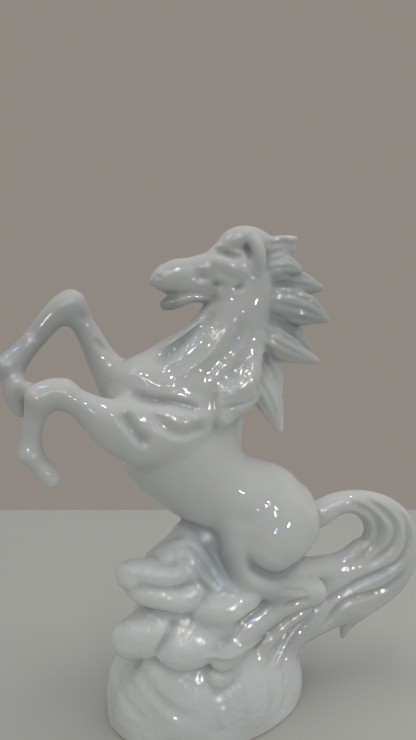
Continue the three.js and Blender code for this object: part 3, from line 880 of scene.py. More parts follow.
@dataclass
class Mound(SubAssembly):
    """The hollow rock mound that everything stands on.

    Attributes:
        length: Its length at the foot.
        width: Its width at the foot.
        height: How high it rises.
        turn: How far its length is turned from the way the horse looks, in degrees.
        roundness: The power of its outline from the side: 2 is an ellipse, more has a flatter top.
        lobes: How many lobes go round it.
        lobe_depth: How far they stand out.
        wall: How thick it is.
        boss: A swelling on its near side.
        flutes: The flutes, creases and drips on its near side.
    """

    length: float = 124.0
    width: float = 90.0
    height: float = 50.0
    turn: float = 11.0
    roundness: float = 2.6
    lobes: int = 9
    lobe_depth: float = 1.2
    wall: float = 4.0
    boss: Stops = ((-40, -24, 40, 16, 8), (-34, -29, 36, 20, 9), (-26, -33, 30, 16, 7))
    flutes: tuple[Stroke, ...] = (
        Stroke(((13, 41), (14, 28), (13, 12)), 4.0, 0.7),
        Stroke(((24, 37), (25, 24), (23, 8)), 4.0, 0.7),
        Stroke(((34, 33), (36, 22), (35, 6)), 4.0, 0.7),
        Stroke(((-1, 24), (-2, 18), (-1, 10)), 3.0, 0.8),
        Stroke(((-46, 52), (-43.6, 40), (-35.9, 28.5), (-23.5, 21.5), (-12, 19)), 5.0, -1.1),
        Stroke(((-60, 36.8), (-55, 26), (-42, 13.7)), 4.0, -0.7),
        Stroke(((-8.3, 45.3), (-6.2, 41.9), (-1.6, 40.3), (3.1, 41), (5.7, 42.8)), 2.2, -1.3),
        Stroke(((-7.7, 29.9), (-5.1, 27.9), (-1.3, 28), (2.5, 29.7), (5.1, 32.4), (5.9, 36.3)), 2.2, -1.1),
        Stroke(((20.6, 34.5), (25.1, 32.4), (30.5, 32.5), (35.1, 35.2), (40.4, 39.6)), 2.4, -1.3),
        Stroke(((31.1, 27.3), (34.2, 27.7), (39.3, 25.6)), 2.0, -0.7),
        Stroke(((39.8, 26), (39.4, 18.5)), 2.0, -0.7),
        Stroke(((30.7, 21.3), (30.8, 11.9)), 2.5, -0.6),
    )

    def casts(self) -> list[Cast]:
        """Returns the mound."""
        return [Cast("base_mound", (Bone(self.boss),), Glaze.ROCK, 8.0, ripple=0.8)]

    def distance(self, clay: Clay, box: Window, inset: float) -> np.ndarray:
        """Measures the distances to the mound.

        Args:
            clay: The block of clay.
            box: The window to measure in.
            inset: How far the surface is moved inwards.

        Returns:
            Distances over the window.
        """
        turn = math.radians(self.turn)
        x = clay.axes[0][box[0]][:, None]
        y = clay.axes[1][box[1]][None, :]
        z = clay.axes[2][box[2]]
        u = x * math.cos(turn) + y * math.sin(turn)
        v = y * math.cos(turn) - x * math.sin(turn)
        angle = np.arctan2(v / self.width, u / self.length)
        height = self.height - inset
        rise = np.clip(z / height, 0.0, 1.2)
        share = np.sign(1 - rise) * np.abs(1 - rise**self.roundness) ** (1 / self.roundness)
        lobe = self.lobe_depth * np.cos(self.lobes * angle)[:, :, None] * ease(z / 12.0)
        half_length = 0.5 * self.length - inset + lobe
        half_width = 0.5 * self.width - inset + lobe
        size = np.sqrt((u[:, :, None] / half_length) ** 2 + (v[:, :, None] / half_width) ** 2) + 1e-4
        flank = np.sqrt((u[:, :, None] / half_length**2) ** 2 + (v[:, :, None] / half_width**2) ** 2)
        steep = np.gradient(share, z)
        slope = np.sqrt((flank / size) ** 2 + steep**2)
        return ((size - share) / slope).astype(np.float32)

    def build(self, clay: Clay) -> None:
        """Lays the mound and the bosses on it.

        Args:
            clay: The block of clay.
        """
        clay.casts.append(self.casts()[0])
        reach = 0.5 * self.length + 10.0
        box = clay.window(np.array((-reach, -60.0, -10.0)), np.array((reach, 60.0, self.height + 8.0)))
        clay.join(box, self.distance(clay, box, 0.0), 3.0)
        clay.casts.pop()
        super().build(clay)

    def detail(self, clay: Clay) -> None:
        """Presses the flutes, creases and drips on the near side."""
        clay.press(list(self.flutes), Side.NEAR)

    def hollow(self, clay: Clay) -> None:
        """Hollows the mound from below and cuts the whole figure flat at its foot.

        Args:
            clay: The block of clay.
        """
        reach = 0.5 * self.length
        box = clay.window(np.array((-reach, -50.0, -10.0)), np.array((reach, 50.0, self.height)))
        field = clay.field[box]
        np.maximum(field, -self.distance(clay, box, self.wall), out=field)
        np.maximum(clay.field, -clay.axes[2][None, None, :], out=clay.field)


@dataclass
class HindLegs(SubAssembly):
    """The two hind legs, bent under the croup and set on the rock."""

    thigh: Stops = ((46, -10, 113, 44, 34), (35, -16, 104, 43, 33), (27.5, -19.5, 95, 34, 27))
    gaskin: Stops = (
        (13, -17, 110, 20, 18),
        (10.5, -21, 98, 17, 18),
        (15, -23, 87, 16, 18),
        (28, -23, 78.5, 16, 17.5),
        (43, -21, 74.5, 14, 15.5),
        (55, -19, 71.5, 12, 14),
        (61, -17.5, 68.5, 12, 13),
    )
    cannon: Stops = (
        (61, -17.5, 67.5, 12, 13),
        (56, -18.5, 65.5, 11.5, 13),
        (46, -20, 64, 11, 13),
        (33.5, -22, 62.5, 15, 15),
        (18, -26, 56.5, 18, 16),
        (8, -30, 49.5, 16, 16),
        (3, -32.5, 46.5, 14, 15),
    )
    hoof: Stops = ((1, -33.5, 45, 14, 15), (-0.5, -35.5, 41.5, 13, 14))
    creases: tuple[Stroke, ...] = (
        Stroke(((13, 102), (18.9, 92), (29.6, 86.3), (42, 86.5), (49.7, 90.4), (54, 96)), 5.0, -1.1),
        Stroke(((33.2, 78.5), (44.5, 75.5), (54, 72.5)), 2.6, -1.2),
        Stroke(((36, 66.5), (47, 68.3), (56, 68.5)), 2.4, -1.4),
    )

    def casts(self) -> list[Cast]:
        """Lists the casts of the hind legs.

        Returns:
            The near leg and the off leg.
        """
        bones = tuple(Bone(stops) for stops in (self.thigh, self.gaskin, self.cannon, self.hoof))
        off = tuple(bone.mirrored() for bone in bones)
        return [Cast("near_hind_leg", bones, blend=7.0), Cast("off_hind_leg", off, blend=7.0)]

    def detail(self, clay: Clay) -> None:
        """Presses the creases above and below the stifle."""
        clay.press(list(self.creases), Side.FLANKS)


@dataclass
class Rocks(SubAssembly):
    """The rock that rises from the mound: a crest, ledges and slabs.

    Attributes:
        crest: The runs of the crest.
        ledges: The runs of each ledge and slab, by name.
        square: How square the sections of ledges and slabs are.
        blend: How wide the slip fills the corners round them.
        creases: The creases between the layers.
    """

    crest: tuple[Stops, ...] = (
        ((-14, -3, 106, 8, 25), (-13, -5, 98, 22, 34), (-8, -6, 82, 54, 44), (-5, -5, 60, 64, 50)),
        ((-16, -3, 107.5, 8, 14), (-22, -7, 98, 14, 22), (-32, -9, 90, 15, 26)),
        ((-15, -4, 107, 10, 22), (-2, -5, 103, 16, 28), (12, -7, 92, 22, 30)),
        (
            (-28, -12, 97, 8, 8),
            (-20, -17, 103, 8, 8),
            (-13, -19, 102.5, 8, 8),
            (-7.5, -22, 95.5, 9, 8),
            (-1.5, -25, 86.5, 10, 9),
            (8.5, -27, 80, 10, 9),
            (17, -28, 76, 7, 7),
        ),
        ((-28, -17, 95.5, 7, 7), (-16, -22.5, 96, 8, 8), (-10.5, -25, 89, 8, 8), (-2, -28, 81, 9, 8)),
    )
    ledges: dict[str, tuple[Stops, ...]] = field(
        default_factory=lambda: {
            "upper_ledge": (
                ((-32, -8, 89, 9, 26), (-14, -8, 88, 10, 30)),
                ((-52.5, -14, 92.5, 8, 10), (-47, -17.5, 91, 14, 15), (-38, -19.5, 91.5, 13, 15)),
                (
                    (-39, -19, 91, 12, 15),
                    (-27, -21.5, 90, 13.5, 16),
                    (-17, -22, 91.5, 12, 14),
                    (-12.5, -21, 93, 8, 11),
                ),
                ((-50.5, -18, 88.5, 8, 10), (-46, -20.5, 87, 8, 11)),
            ),
            "second_ledge": (
                ((-32, -8, 77, 9, 28), (-10, -8, 76, 10, 34)),
                (
                    (-45, -13, 84.5, 14, 15),
                    (-34, -15.5, 85, 20, 19),
                    (-20, -17, 84, 22, 20),
                    (-9, -17, 83, 22, 20),
                ),
                (
                    (-47.5, -15, 82, 7, 11),
                    (-41, -19, 80, 11.5, 15),
                    (-29, -22.5, 78, 13, 16),
                    (-18.5, -24.5, 77, 14, 17),
                    (-11, -24, 80.5, 12, 14),
                    (-8.5, -22.5, 85.5, 6.5, 10),
                ),
            ),
            "lower_left_slab": (
                ((-40, -4, 56, 14, 30), (-18, -4, 58, 16, 40)),
                ((-41, -12, 60.5, 13, 18), (-34, -14, 64, 16, 24), (-20, -16, 66, 18, 28)),
                (
                    (-54, -16, 56.5, 13, 16),
                    (-48, -19, 55, 22, 20),
                    (-38, -21, 56, 23, 22),
                    (-27, -22, 58.5, 18, 20),
                    (-19, -21, 61, 12, 16),
                ),
            ),
            "lower_mid_slab": (
                ((-24, -20, 52, 14, 20), (-8, -20, 53, 14, 20)),
                ((-22, -18, 61, 18, 24), (-8, -19.5, 63, 18, 26), (8, -19, 62, 18, 24)),
                ((-24, -24, 56.5, 18, 22), (-8, -25, 59, 18, 21), (4, -24, 60, 14, 20)),
                (
                    (-31, -28, 50.5, 12, 14),
                    (-24, -30, 51, 20, 18),
                    (-14, -30.5, 51, 21, 18),
                    (-7, -28.5, 54, 18, 16),
                    (-2.5, -26, 59, 10, 12),
                ),
            ),
            "right_slab": (
                ((-4, -18, 67, 14, 18), (10, -18, 66, 16, 18), (26, -17, 64, 12, 14)),
                ((-6, -22, 76, 14, 20), (6, -23, 74.5, 14, 19), (20, -22.5, 73, 12, 17)),
                (
                    (-11.5, -26.5, 71.5, 12, 13),
                    (-5, -28.5, 71.5, 15, 17),
                    (3, -28.5, 70.5, 16, 17),
                    (11, -27, 71.5, 14, 15),
                    (20, -25, 74.5, 9, 12),
                ),
            ),
            "off_side_slab": (((-14, 20, 56, 18, 22), (6, 18, 52.5, 20, 23), (22, 16, 48, 16, 22)),),
            "hoof_rest": (
                ((12, -22, 40, 16, 20), (5, -28, 38, 14, 18)),
                ((5, -29, 39, 13, 16), (-0.6, -35, 36, 14, 13), (-0.8, -36.5, 33.2, 13, 11)),
            ),
        }
    )
    square: float = 2.5
    blend: float = 3.2
    creases: tuple[Stroke, ...] = (
        Stroke(
            (
                *((-36.9, 97), (-27.8, 95.4), (-22.2, 96.9), (-17.6, 97.9)),
                *((-13.9, 95.6), (-11.1, 89), (-7.3, 84.5), (0.3, 81.4)),
            ),
            2.6,
            -1.4,
        ),
        Stroke(
            ((-22.4, 101.8), (-17.2, 103.7), (-12.6, 100.8), (-7.9, 93.5), (-3.1, 86.6), (3.6, 82.4)),
            3.0,
            -1.2,
        ),
        Stroke(
            (
                *((-48.5, 85.8), (-43.8, 85.6), (-41.5, 88.1), (-35.8, 86.1)),
                *((-28.6, 85.3), (-20.4, 86.2), (-12.1, 90.6)),
            ),
            2.2,
            -0.7,
        ),
        Stroke(((-8.8, 87), (-6.5, 81.4), (-11.5, 75.2), (-16, 71.5)), 2.4, -1.0),
        Stroke(((-36.1, 48), (-32, 55.5), (-27.9, 62.1), (-23.2, 69.3)), 3.0, -1.9),
    )

    def casts(self) -> list[Cast]:
        """Lists the casts of the rock.

        Returns:
            The crest, the ledges and the slabs.
        """
        found = [Cast("rock_crest", tuple(Bone(stops) for stops in self.crest), Glaze.ROCK, 4.0, 0.6)]
        for name, runs in self.ledges.items():
            bones = tuple(Bone(stops, square=self.square) for stops in runs)
            found.append(Cast(name, bones, Glaze.ROCK, self.blend, 0.7))
        return found

    def detail(self, clay: Clay) -> None:
        """Presses the creases between the layers of rock on the near side."""
        clay.press(list(self.creases), Side.NEAR)


@dataclass
class Tail(SubAssembly):
    """The tail: it loops back from the croup and runs down on to the mound."""

    line: Stops = (
        (58, 0, 105, 18, 15),
        (70, 0.5, 108, 17, 15),
        (80, 1, 112.5, 14.5, 15),
        (90, 1.5, 114, 14, 15.5),
        (101, 2, 111.5, 17.5, 17),
        (111, 2, 105, 25, 18),
        (118, 2, 95, 34, 19),
        (119.5, 2, 82, 43, 19),
        (113.5, 2, 70, 50, 19),
        (101, 2, 61, 50, 19),
        (86, 1, 56.5, 49, 19),
        (70, -1, 54.5, 50, 19),
        (54, -6, 46, 39, 19),
        (37, -14, 32, 17, 16),
    )
    strands: tuple[Stops, ...] = (
        ((58, -12, 54, 12, 10), (38, -18, 48, 11, 10), (26, -24, 39.5, 10, 9), (23, -27, 31, 7, 6)),
        ((60, -8, 48, 12, 10), (46, -14, 42, 11, 10), (36, -21, 33, 10, 9), (32.5, -24.5, 25, 6, 6)),
        ((62, -4, 42, 12, 10), (52, -10, 35, 11, 10), (45, -16, 27, 9, 8), (43, -19.5, 21, 6, 5)),
        (
            (76, 0, 71.5, 12, 15),
            (67, -3, 74, 13, 16),
            (58, -8, 77.5, 14.5, 17),
            (49, -13.5, 80.5, 15, 17),
            (41, -17, 83, 13, 14),
        ),
    )
    hanging_lock: Stops = ((99, 3, 42, 18, 14), (93, 4, 30, 9, 8), (90.5, 4.5, 21, 3, 3))
    grooves: tuple[Stroke, ...] = (
        Stroke(
            ((82.7, 116.7), (96.8, 111.4), (106, 103.9), (108.4, 89.9), (98, 78.8), (84.1, 71.6)),
            3.6,
            -2.4,
        ),
        Stroke(
            ((93, 119.3), (107.5, 110.6), (118.8, 99.3), (117.5, 87.3), (107, 77.9), (94.7, 72.3)),
            3.6,
            -2.4,
        ),
        Stroke(
            (
                *((114.6, 113.4), (126.1, 100.5), (128.6, 86.3), (121.8, 74.7)),
                *((109.2, 69), (89.7, 62.4), (75.8, 55.3), (67.3, 45.9)),
            ),
            3.8,
            -2.6,
        ),
        Stroke(
            ((134.5, 77), (124.1, 63.9), (109.7, 56.6), (84.7, 52.5), (72.7, 41.7), (65.8, 35.6)),
            3.6,
            -2.4,
        ),
        Stroke(((83.4, 64.1), (73.1, 56.7), (59.4, 51.4), (44.3, 44.7), (34.4, 34.1)), 2.8, -1.8),
        Stroke(((67.2, 51.6), (52, 43.2), (42.1, 34.3), (38.9, 24.4)), 2.8, -1.8),
    )

    def casts(self) -> list[Cast]:
        """Returns the tail and the lock that hangs from it."""
        bones = (Bone(self.line), *(Bone(stops) for stops in self.strands))
        return [Cast("tail", bones, blend=3.0, ripple=0.3), Cast("tail_lock", (Bone(self.hanging_lock),))]

    def detail(self, clay: Clay) -> None:
        """Presses the grooves between the strands."""
        clay.press(list(self.grooves), Side.THROUGH)


@dataclass
class Forelegs(SubAssembly):
    """The two raised forelegs."""

    near: tuple[Stops, ...] = (
        (
            (-40, -15, 170, 38, 27),
            (-53, -20.5, 174.5, 30.5, 23),
            (-63, -23, 180.5, 20.5, 19),
            (-71.5, -24, 187, 14.5, 16.5),
            (-80, -24, 192.3, 12.5, 15.5),
        ),
        ((-79, -24, 192.6, 13, 16), (-85, -24, 193.4, 14, 16), (-91.5, -24, 190.5, 13, 15.5)),
        (
            (-91, -24, 190, 13, 15),
            (-94, -23, 180, 11, 11.5),
            (-96, -22, 170.5, 10.5, 11.5),
            (-97, -22, 162, 10.5, 12.5),
        ),
        (
            (-96.5, -22, 161, 9.5, 12),
            (-93, -22, 156.5, 9.5, 13),
            (-90, -22, 152.5, 11.5, 14),
            (-86.5, -21.5, 147.5, 11, 14),
        ),
    )
    off: tuple[Stops, ...] = (
        (
            (-40, 13, 178, 34, 26),
            (-50.5, 15, 192.5, 25, 23),
            (-59, 16, 205, 17.5, 19),
            (-65, 15.5, 217.5, 14, 16),
            (-70.5, 14.5, 228, 13, 15),
            (-75.5, 13, 236.5, 14.5, 16),
        ),
        (
            (-75, 13, 237.5, 14.5, 16),
            (-84, 11, 231.5, 14, 15),
            (-94.5, 8, 219.5, 12, 11.5),
            (-102.5, 4, 210, 12.5, 13),
            (-108.5, 1, 203, 13, 13),
        ),
        (
            (-109, 1, 203, 12, 13),
            (-107, 0, 197.5, 9.5, 11),
            (-106, -2, 192.5, 10.5, 12),
            (-105, -4, 187.5, 10.5, 12),
            (-102.8, -5.5, 182, 8, 10),
            (-101.5, -6.5, 179, 4.5, 7),
        ),
        ((-103, -5, 193.5, 7, 7), (-97.5, -13, 193.5, 7.5, 7)),
    )
    hollows: tuple[Stroke, ...] = (
        Stroke(((-73, 233), (-70.5, 230.5), (-68.5, 226.5)), 3.5, -1.2, (0.5, 0.5)),
        Stroke(((-65, 219.5), (-60, 213), (-55, 206.5)), 3.0, -1.5, (0.4, 0.4)),
    )

    def casts(self) -> list[Cast]:
        """Returns the near leg and the off leg."""
        near, off = (tuple(Bone(stops) for stops in runs) for runs in (self.near, self.off))
        return [Cast("near_foreleg", near, blend=7.0), Cast("off_foreleg", off, blend=8.0)]

    def detail(self, clay: Clay) -> None:
        """Presses the hollows between the muscles of the off leg."""
        clay.press(list(self.hollows), Side.THROUGH)


@dataclass
class Head(SubAssembly):
    """The head with its open jaw, ears and forelock."""

    skull: Stops = (
        (22.5, 0, 257.5, 28, 25),
        (12.5, 0, 255, 29, 24),
        (1, 0, 253.5, 25, 20.5),
        (-10.5, 0, 252, 21.5, 17),
        (-17, 0, 251.9, 20.5, 16),
        (-22, 0, 251.3, 18, 15.5),
        (-26.5, 0, 250.5, 14.5, 14.5),
        (-30, 0, 249.6, 9, 12),
        (-32.3, 0, 248.8, 4, 8),
    )
    palate: Stops = ((-9, 0, 242, 6, 10), (-14, 0, 241, 6, 5), (-21, 0, 240, 7, 3.5))
    brow: Stops = ((2.5, -8, 260, 7, 6), (9.5, -9.6, 257.2, 8.5, 6.5), (15.5, -10.2, 254, 7, 5))
    eyeball: Stops = ((5, -9, 250.3, 6.5, 5), (12, -9.3, 248.8, 7, 5))
    cheek: Stops = ((6, -5, 243, 12, 12), (14, -6, 243.5, 15, 12))
    jaw: Stops = (
        (14, 0, 245, 19, 19),
        (-1.5, 0, 242.3, 9.5, 14),
        (-11, 0, 241, 7, 12),
        (-17, 0, 238.9, 8, 11.5),
        (-21.5, 0, 237.7, 8.5, 11),
        (-25.4, 0, 236.2, 6, 8.5),
    )
    ear: Stops = (
        (22.5, -8, 274.5, 9, 7),
        (25.2, -11, 267.5, 8.5, 8),
        (26.6, -11.8, 260, 7, 7),
        (25.8, -11.3, 253, 3, 3.5),
    )
    forelock: Stops = (
        (2.5, 0, 264.5, 6.5, 11),
        (8.5, 0, 268, 10.5, 15),
        (13, 0, 270.7, 14.5, 18),
        (18.5, 0, 272.4, 16.5, 20),
        (25, 0, 272, 17, 20),
        (31, 0, 269.5, 16, 18),
    )
    marks: tuple[Stroke, ...] = (
        Stroke(((-12, 253.6), (-5.2, 252.1), (2.5, 251.5)), 5.0, -2.4, (0.5, 0.5)),
        Stroke(((-1.5, 247.6), (2.9, 248.1), (7, 247.8)), 1.9, -1.9, (0.5, 0.5)),
        Stroke(((10.5, 245), (14.9, 246.2), (18.5, 248)), 1.9, -1.9, (0.5, 0.5)),
        Stroke(((1, 267), (2.8, 266), (7, 265.4), (11.5, 263.2), (18.5, 261.7)), 2.8, -2.2, (0.15, 0.35)),
        Stroke(((19, 271.5), (20.6, 265.5), (21.8, 258.5)), 2.4, -1.5, (0.2, 0.4)),
        Stroke(((-31, 249.8), (-28.6, 251.5), (-26, 251.2)), 1.6, -1.2, (0.5, 0.5)),
        Stroke(((-20, 243.2), (-11, 243), (-1, 241.5), (5, 240.5)), 1.6, -1.2),
        Stroke(((-28, 241), (-23, 241.4), (-16, 242.6)), 2.4, -2.3, (0.1, 0.4)),
    )

    def casts(self) -> list[Cast]:
        """Lists the casts of the head.

        Returns:
            The head, the jaw, the forelock and the ears.
        """
        face = [Bone(stops) for stops in (self.brow, self.eyeball, self.cheek)]
        skull = (Bone(self.skull), Bone(self.palate), *face, *(bone.mirrored() for bone in face))
        ear = (Bone(self.ear),)
        return [
            Cast("head", skull, blend=2.5),
            Cast("lower_jaw", (Bone(self.jaw),), blend=1.5),
            Cast("forelock", (Bone(self.forelock),), blend=2.5),
            Cast("near_ear", ear, blend=2.5),
            Cast("off_ear", tuple(bone.mirrored() for bone in ear), blend=2.5),
        ]

    def detail(self, clay: Clay) -> None:
        """Presses the mouth, the eyes, the nostrils and the hollows of the face."""
        clay.press(list(self.marks), Side.FLANKS)


@dataclass
class Mane(SubAssembly):
    """The locks that fly back from the crest, and the curls on the near side of the neck.

    Attributes:
        thickness: How wide a lock is across the figure at most.
        locks: Stops of x, y, z and depth for each lock, from the poll down.
        crest_ridge: A ridge on the first lock.
        curls: The runs of each curl.
        under_curl: The groove under the upper curl.
        withers: The lock on the withers.
        groove_places: Where the grooves of a lock run, as shares of its depth from its middle.
        groove_width: From a groove's middle to its edge.
        groove_height: How deep a groove goes, as a negative height.
        groove_fades: The share of its length over which it fades in and out.
    """

    thickness: float = 13.0
    locks: tuple[Stops, ...] = (
        ((28, 0, 264, 20), (40, 0, 267.5, 14.5), (49, 0, 270, 9)),
        ((28, -2, 256, 22), (43, -3, 258, 16), (53, -3, 256, 6)),
        ((28, 2, 248, 20), (51, 2, 249, 18), (68.5, 2, 246.3, 5)),
        ((28, -3, 240, 22), (54, -3, 234.5, 21), (71, -3, 227.8, 4.5)),
        ((27, 2, 230, 22), (47, 3, 221.5, 18), (62.5, 3, 211, 4.5)),
        ((26, -3, 224, 22), (45, -4, 212, 17), (65, -4, 203.6, 4)),
        ((25, 2, 214, 20), (37, 0, 200, 15), (41.5, 0, 184, 8)),
        ((22, -3, 204, 20), (34.5, -5, 183, 17), (42, -5, 163.5, 5)),
    )
    crest_ridge: Stops = ((32, -3, 270.5, 6, 7), (41, -3.5, 273, 5.5, 6), (50, -3, 273.5, 4.5, 5))
    curls: tuple[tuple[Stops, ...], ...] = (
        (
            (
                (29, -5, 224, 5, 6),
                (25, -9.5, 212, 9, 9),
                (22.5, -13, 203, 11, 12),
                (19.8, -15.2, 196, 13, 13),
                (15.5, -16.4, 191.6, 13.5, 13),
                (9.5, -18.2, 188.8, 12, 11),
                (4.8, -19.6, 186.2, 9, 8.5),
                (1.5, -21.5, 182.5, 4.5, 5),
                (0.8, -22, 177, 3, 3.5),
                (2.6, -21.5, 173, 2.4, 2.4),
            ),
        ),
        (
            (
                (24, -10, 188, 9, 10),
                (19, -14.5, 183.2, 9, 10),
                (13, -17, 180.2, 9, 10),
                (7.5, -19, 178, 9, 8),
                (4.2, -20.5, 175, 6, 6),
            ),
        ),
    )
    under_curl: Stroke = Stroke(((3.2, 180.5), (5.5, 181.5), (10, 182), (17, 183), (22.5, 186.5)), 1.9, -1.1)
    withers: Stops = ((13, 0, 181, 19, 16), (13, -4, 166, 14, 12), (15, -4, 149.5, 3.5, 3))
    groove_places: tuple[float, ...] = (-0.3, -0.04, 0.24)
    groove_width: float = 2.0
    groove_height: float = -0.8
    groove_fades: tuple[float, float] = (0.4, 0.25)

    def casts(self) -> list[Cast]:
        """Lists the casts of the mane.

        Returns:
            The locks of the crest, the curls and the lock on the withers.
        """
        found = []
        for i, stops in enumerate(self.locks, 1):
            bones = [Bone(tuple((x, y, z, wide, min(wide, self.thickness)) for x, y, z, wide in stops))]
            bones += [Bone(self.crest_ridge)] if i == 1 else []
            found.append(Cast(f"mane_lock_{i}", tuple(bones), blend=1.6))
        for i, runs in enumerate(self.curls, 1):
            found.append(Cast(f"near_curl_{i}", tuple(Bone(stops) for stops in runs), blend=7.0, ripple=0.8))
        return found + [Cast("withers_lock", (Bone(self.withers),), blend=3.0)]

    def detail(self, clay: Clay) -> None:
        """Draws the grooves along each lock and under the curl.

        Args:
            clay: The block of clay.
        """
        grooves = []
        for stops in self.locks:
            for offset in self.groove_places:
                rows = np.array(stops)
                along = np.gradient(rows[:, (0, 2)], axis=0)
                along /= np.linalg.norm(along, axis=1, keepdims=True)
                aside = np.stack((-along[:, 1], along[:, 0]), 1) * (offset * rows[:, 3:4])
                line = tuple(map(tuple, rows[:, (0, 2)] + aside))
                grooves.append(Stroke(line, self.groove_width, self.groove_height, self.groove_fades))
        clay.press(grooves, Side.THROUGH)
        clay.press([self.under_curl], Side.NEAR)


@dataclass(frozen=True)
class JointFinish:
    """The geometry node tree that fettles a cast: it evens out the luting faces and lays the glaze on.

    Attributes:
        name: The tree's name.
        rounds: How often a luting face is evened out.
    """

    name: str = "fettled_joint"
    rounds: int = 6

    def tree(self) -> bpy.types.NodeTree:
        """Makes the tree on first use.

        Returns:
            The tree.
        """
        if self.name in bpy.data.node_groups:
            return bpy.data.node_groups[self.name]
        made = bpy.data.node_groups.new(self.name, "GeometryNodeTree")
        made.is_modifier = True
        for name, kind in (("Cast", "Geometry"), ("Rounds", "Int"), ("Glaze", "Material")):
            made.interface.new_socket(name, in_out="INPUT", socket_type=f"NodeSocket{kind}")
        made.interface.new_socket("Cast", in_out="OUTPUT", socket_type="NodeSocketGeometry")
        nodes, links = made.nodes, made.links
        given, out = nodes.new("NodeGroupInput"), nodes.new("NodeGroupOutput")
        lute = nodes.new("GeometryNodeInputNamedAttribute")
        lute.data_type = "FLOAT"
        lute.inputs["Name"].default_value = "lute"
        even = nodes.new("GeometryNodeBlurAttribute")
        even.data_type = "FLOAT_VECTOR"
        value = next(socket for socket in even.inputs if socket.name == "Value" and socket.type == "VECTOR")
        links.new(nodes.new("GeometryNodeInputPosition").outputs[0], value)
        links.new(given.outputs["Rounds"], even.inputs["Iterations"])
        share = next(socket for socket in lute.outputs if socket.enabled and socket.type == "VALUE")
        links.new(share, even.inputs["Weight"])
        move = nodes.new("GeometryNodeSetPosition")
        links.new(given.outputs["Cast"], move.inputs["Geometry"])
        links.new(next(socket for socket in even.outputs if socket.type == "VECTOR"), move.inputs["Position"])
        whole = nodes.new("GeometryNodeRealizeInstances")
        links.new(move.outputs["Geometry"], whole.inputs["Geometry"])
        coat = nodes.new("GeometryNodeSetMaterial")
        links.new(whole.outputs["Geometry"], coat.inputs["Geometry"])
        links.new(given.outputs["Glaze"], coat.inputs["Material"])
        links.new(coat.outputs["Geometry"], out.inputs["Cast"])
        return made

    def apply(self, piece: bpy.types.Object, glaze: bpy.types.Material) -> None:
        """Fettles a piece and leaves it with a plain mesh.

        Args:
            piece: The piece.
            glaze: Its material.
        """
        tree = self.tree()
        sockets = {item.name: item.identifier for item in tree.interface.items_tree if item.in_out == "INPUT"}
        modifier = piece.modifiers.new(self.name, "NODES")
        modifier.node_group = tree
        modifier[sockets["Rounds"]] = self.rounds
        modifier[sockets["Glaze"]] = glaze
        rough = piece.data
        depsgraph = bpy.context.evaluated_depsgraph_get()
        mesh = bpy.data.meshes.new_from_object(piece.evaluated_get(depsgraph), depsgraph=depsgraph)
        piece.modifiers.remove(modifier)
        piece.data = mesh
        bpy.data.meshes.remove(rough)
        mesh.name = piece.name


def place_object(name: str, data: bpy.types.ID) -> bpy.types.Object:
    """Puts a new object into the scene.

    Args:
        name: Its name.
        data: Its mesh, light or camera.

    Returns:
        The object, at the origin.
    """
    made = bpy.data.objects.new(name, data)
    bpy.context.scene.collection.objects.link(made)
    return made


def make_piece(cast: Cast, skin: Skin, finish: bpy.types.Material) -> bpy.types.Object:
    """Turns a skin into a glazed piece that stands for its CAD node.

    Args:
        cast: The cast.
        skin: Its skin.
        finish: Its material.

    Returns:
        The piece, riding on the figure's one body.
    """
    mesh = bpy.data.meshes.new(cast.name)
    count = len(skin.quads)
    mesh.vertices.add(len(skin.points))
    mesh.loops.add(4 * count)
    mesh.polygons.add(count)
    mesh.vertices.foreach_set("co", ((skin.points - FRAME_SHIFT) * MILLIMETRE).astype(np.float32).ravel())
    mesh.loops.foreach_set("vertex_index", skin.quads.astype(np.int32).ravel())
    mesh.polygons.foreach_set("loop_start", np.arange(0, 4 * count, 4, dtype=np.int32))
    mesh.polygons.foreach_set("use_smooth", np.ones(count, bool))
    mesh.update(calc_edges=True)
    # the first mark carries glaze pooling together with painted shade
    marks = {"pool": skin.pool, "ripple": skin.ripple, "warm": skin.warm, "lute": skin.lute}
    for name, values in marks.items():
        mesh.attributes.new(name, "FLOAT", "POINT").data.foreach_set("value", values)
    piece = place_object(f"{cast.name}_glazed", mesh)
    JointFinish().apply(piece, finish)
    corners = skin.quads.ravel()
    normals = skin.normals[corners]
    buried = np.repeat(skin.lute[skin.quads].max(1) > 0.5, 4)
    a, b, c, d = (skin.points[skin.quads[:, i]] for i in range(4))
    flat = np.cross(c - a, d - b)
    flat /= np.maximum(np.linalg.norm(flat, axis=1, keepdims=True), 1e-9)
    normals[buried] = np.repeat(flat, 4, axis=0)[buried]
    piece.data.normals_split_custom_set(normals.tolist())
    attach(piece, "root")
    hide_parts(cast.name)
    LOG.info("%s: %d faces", piece.name, count)
    return piece


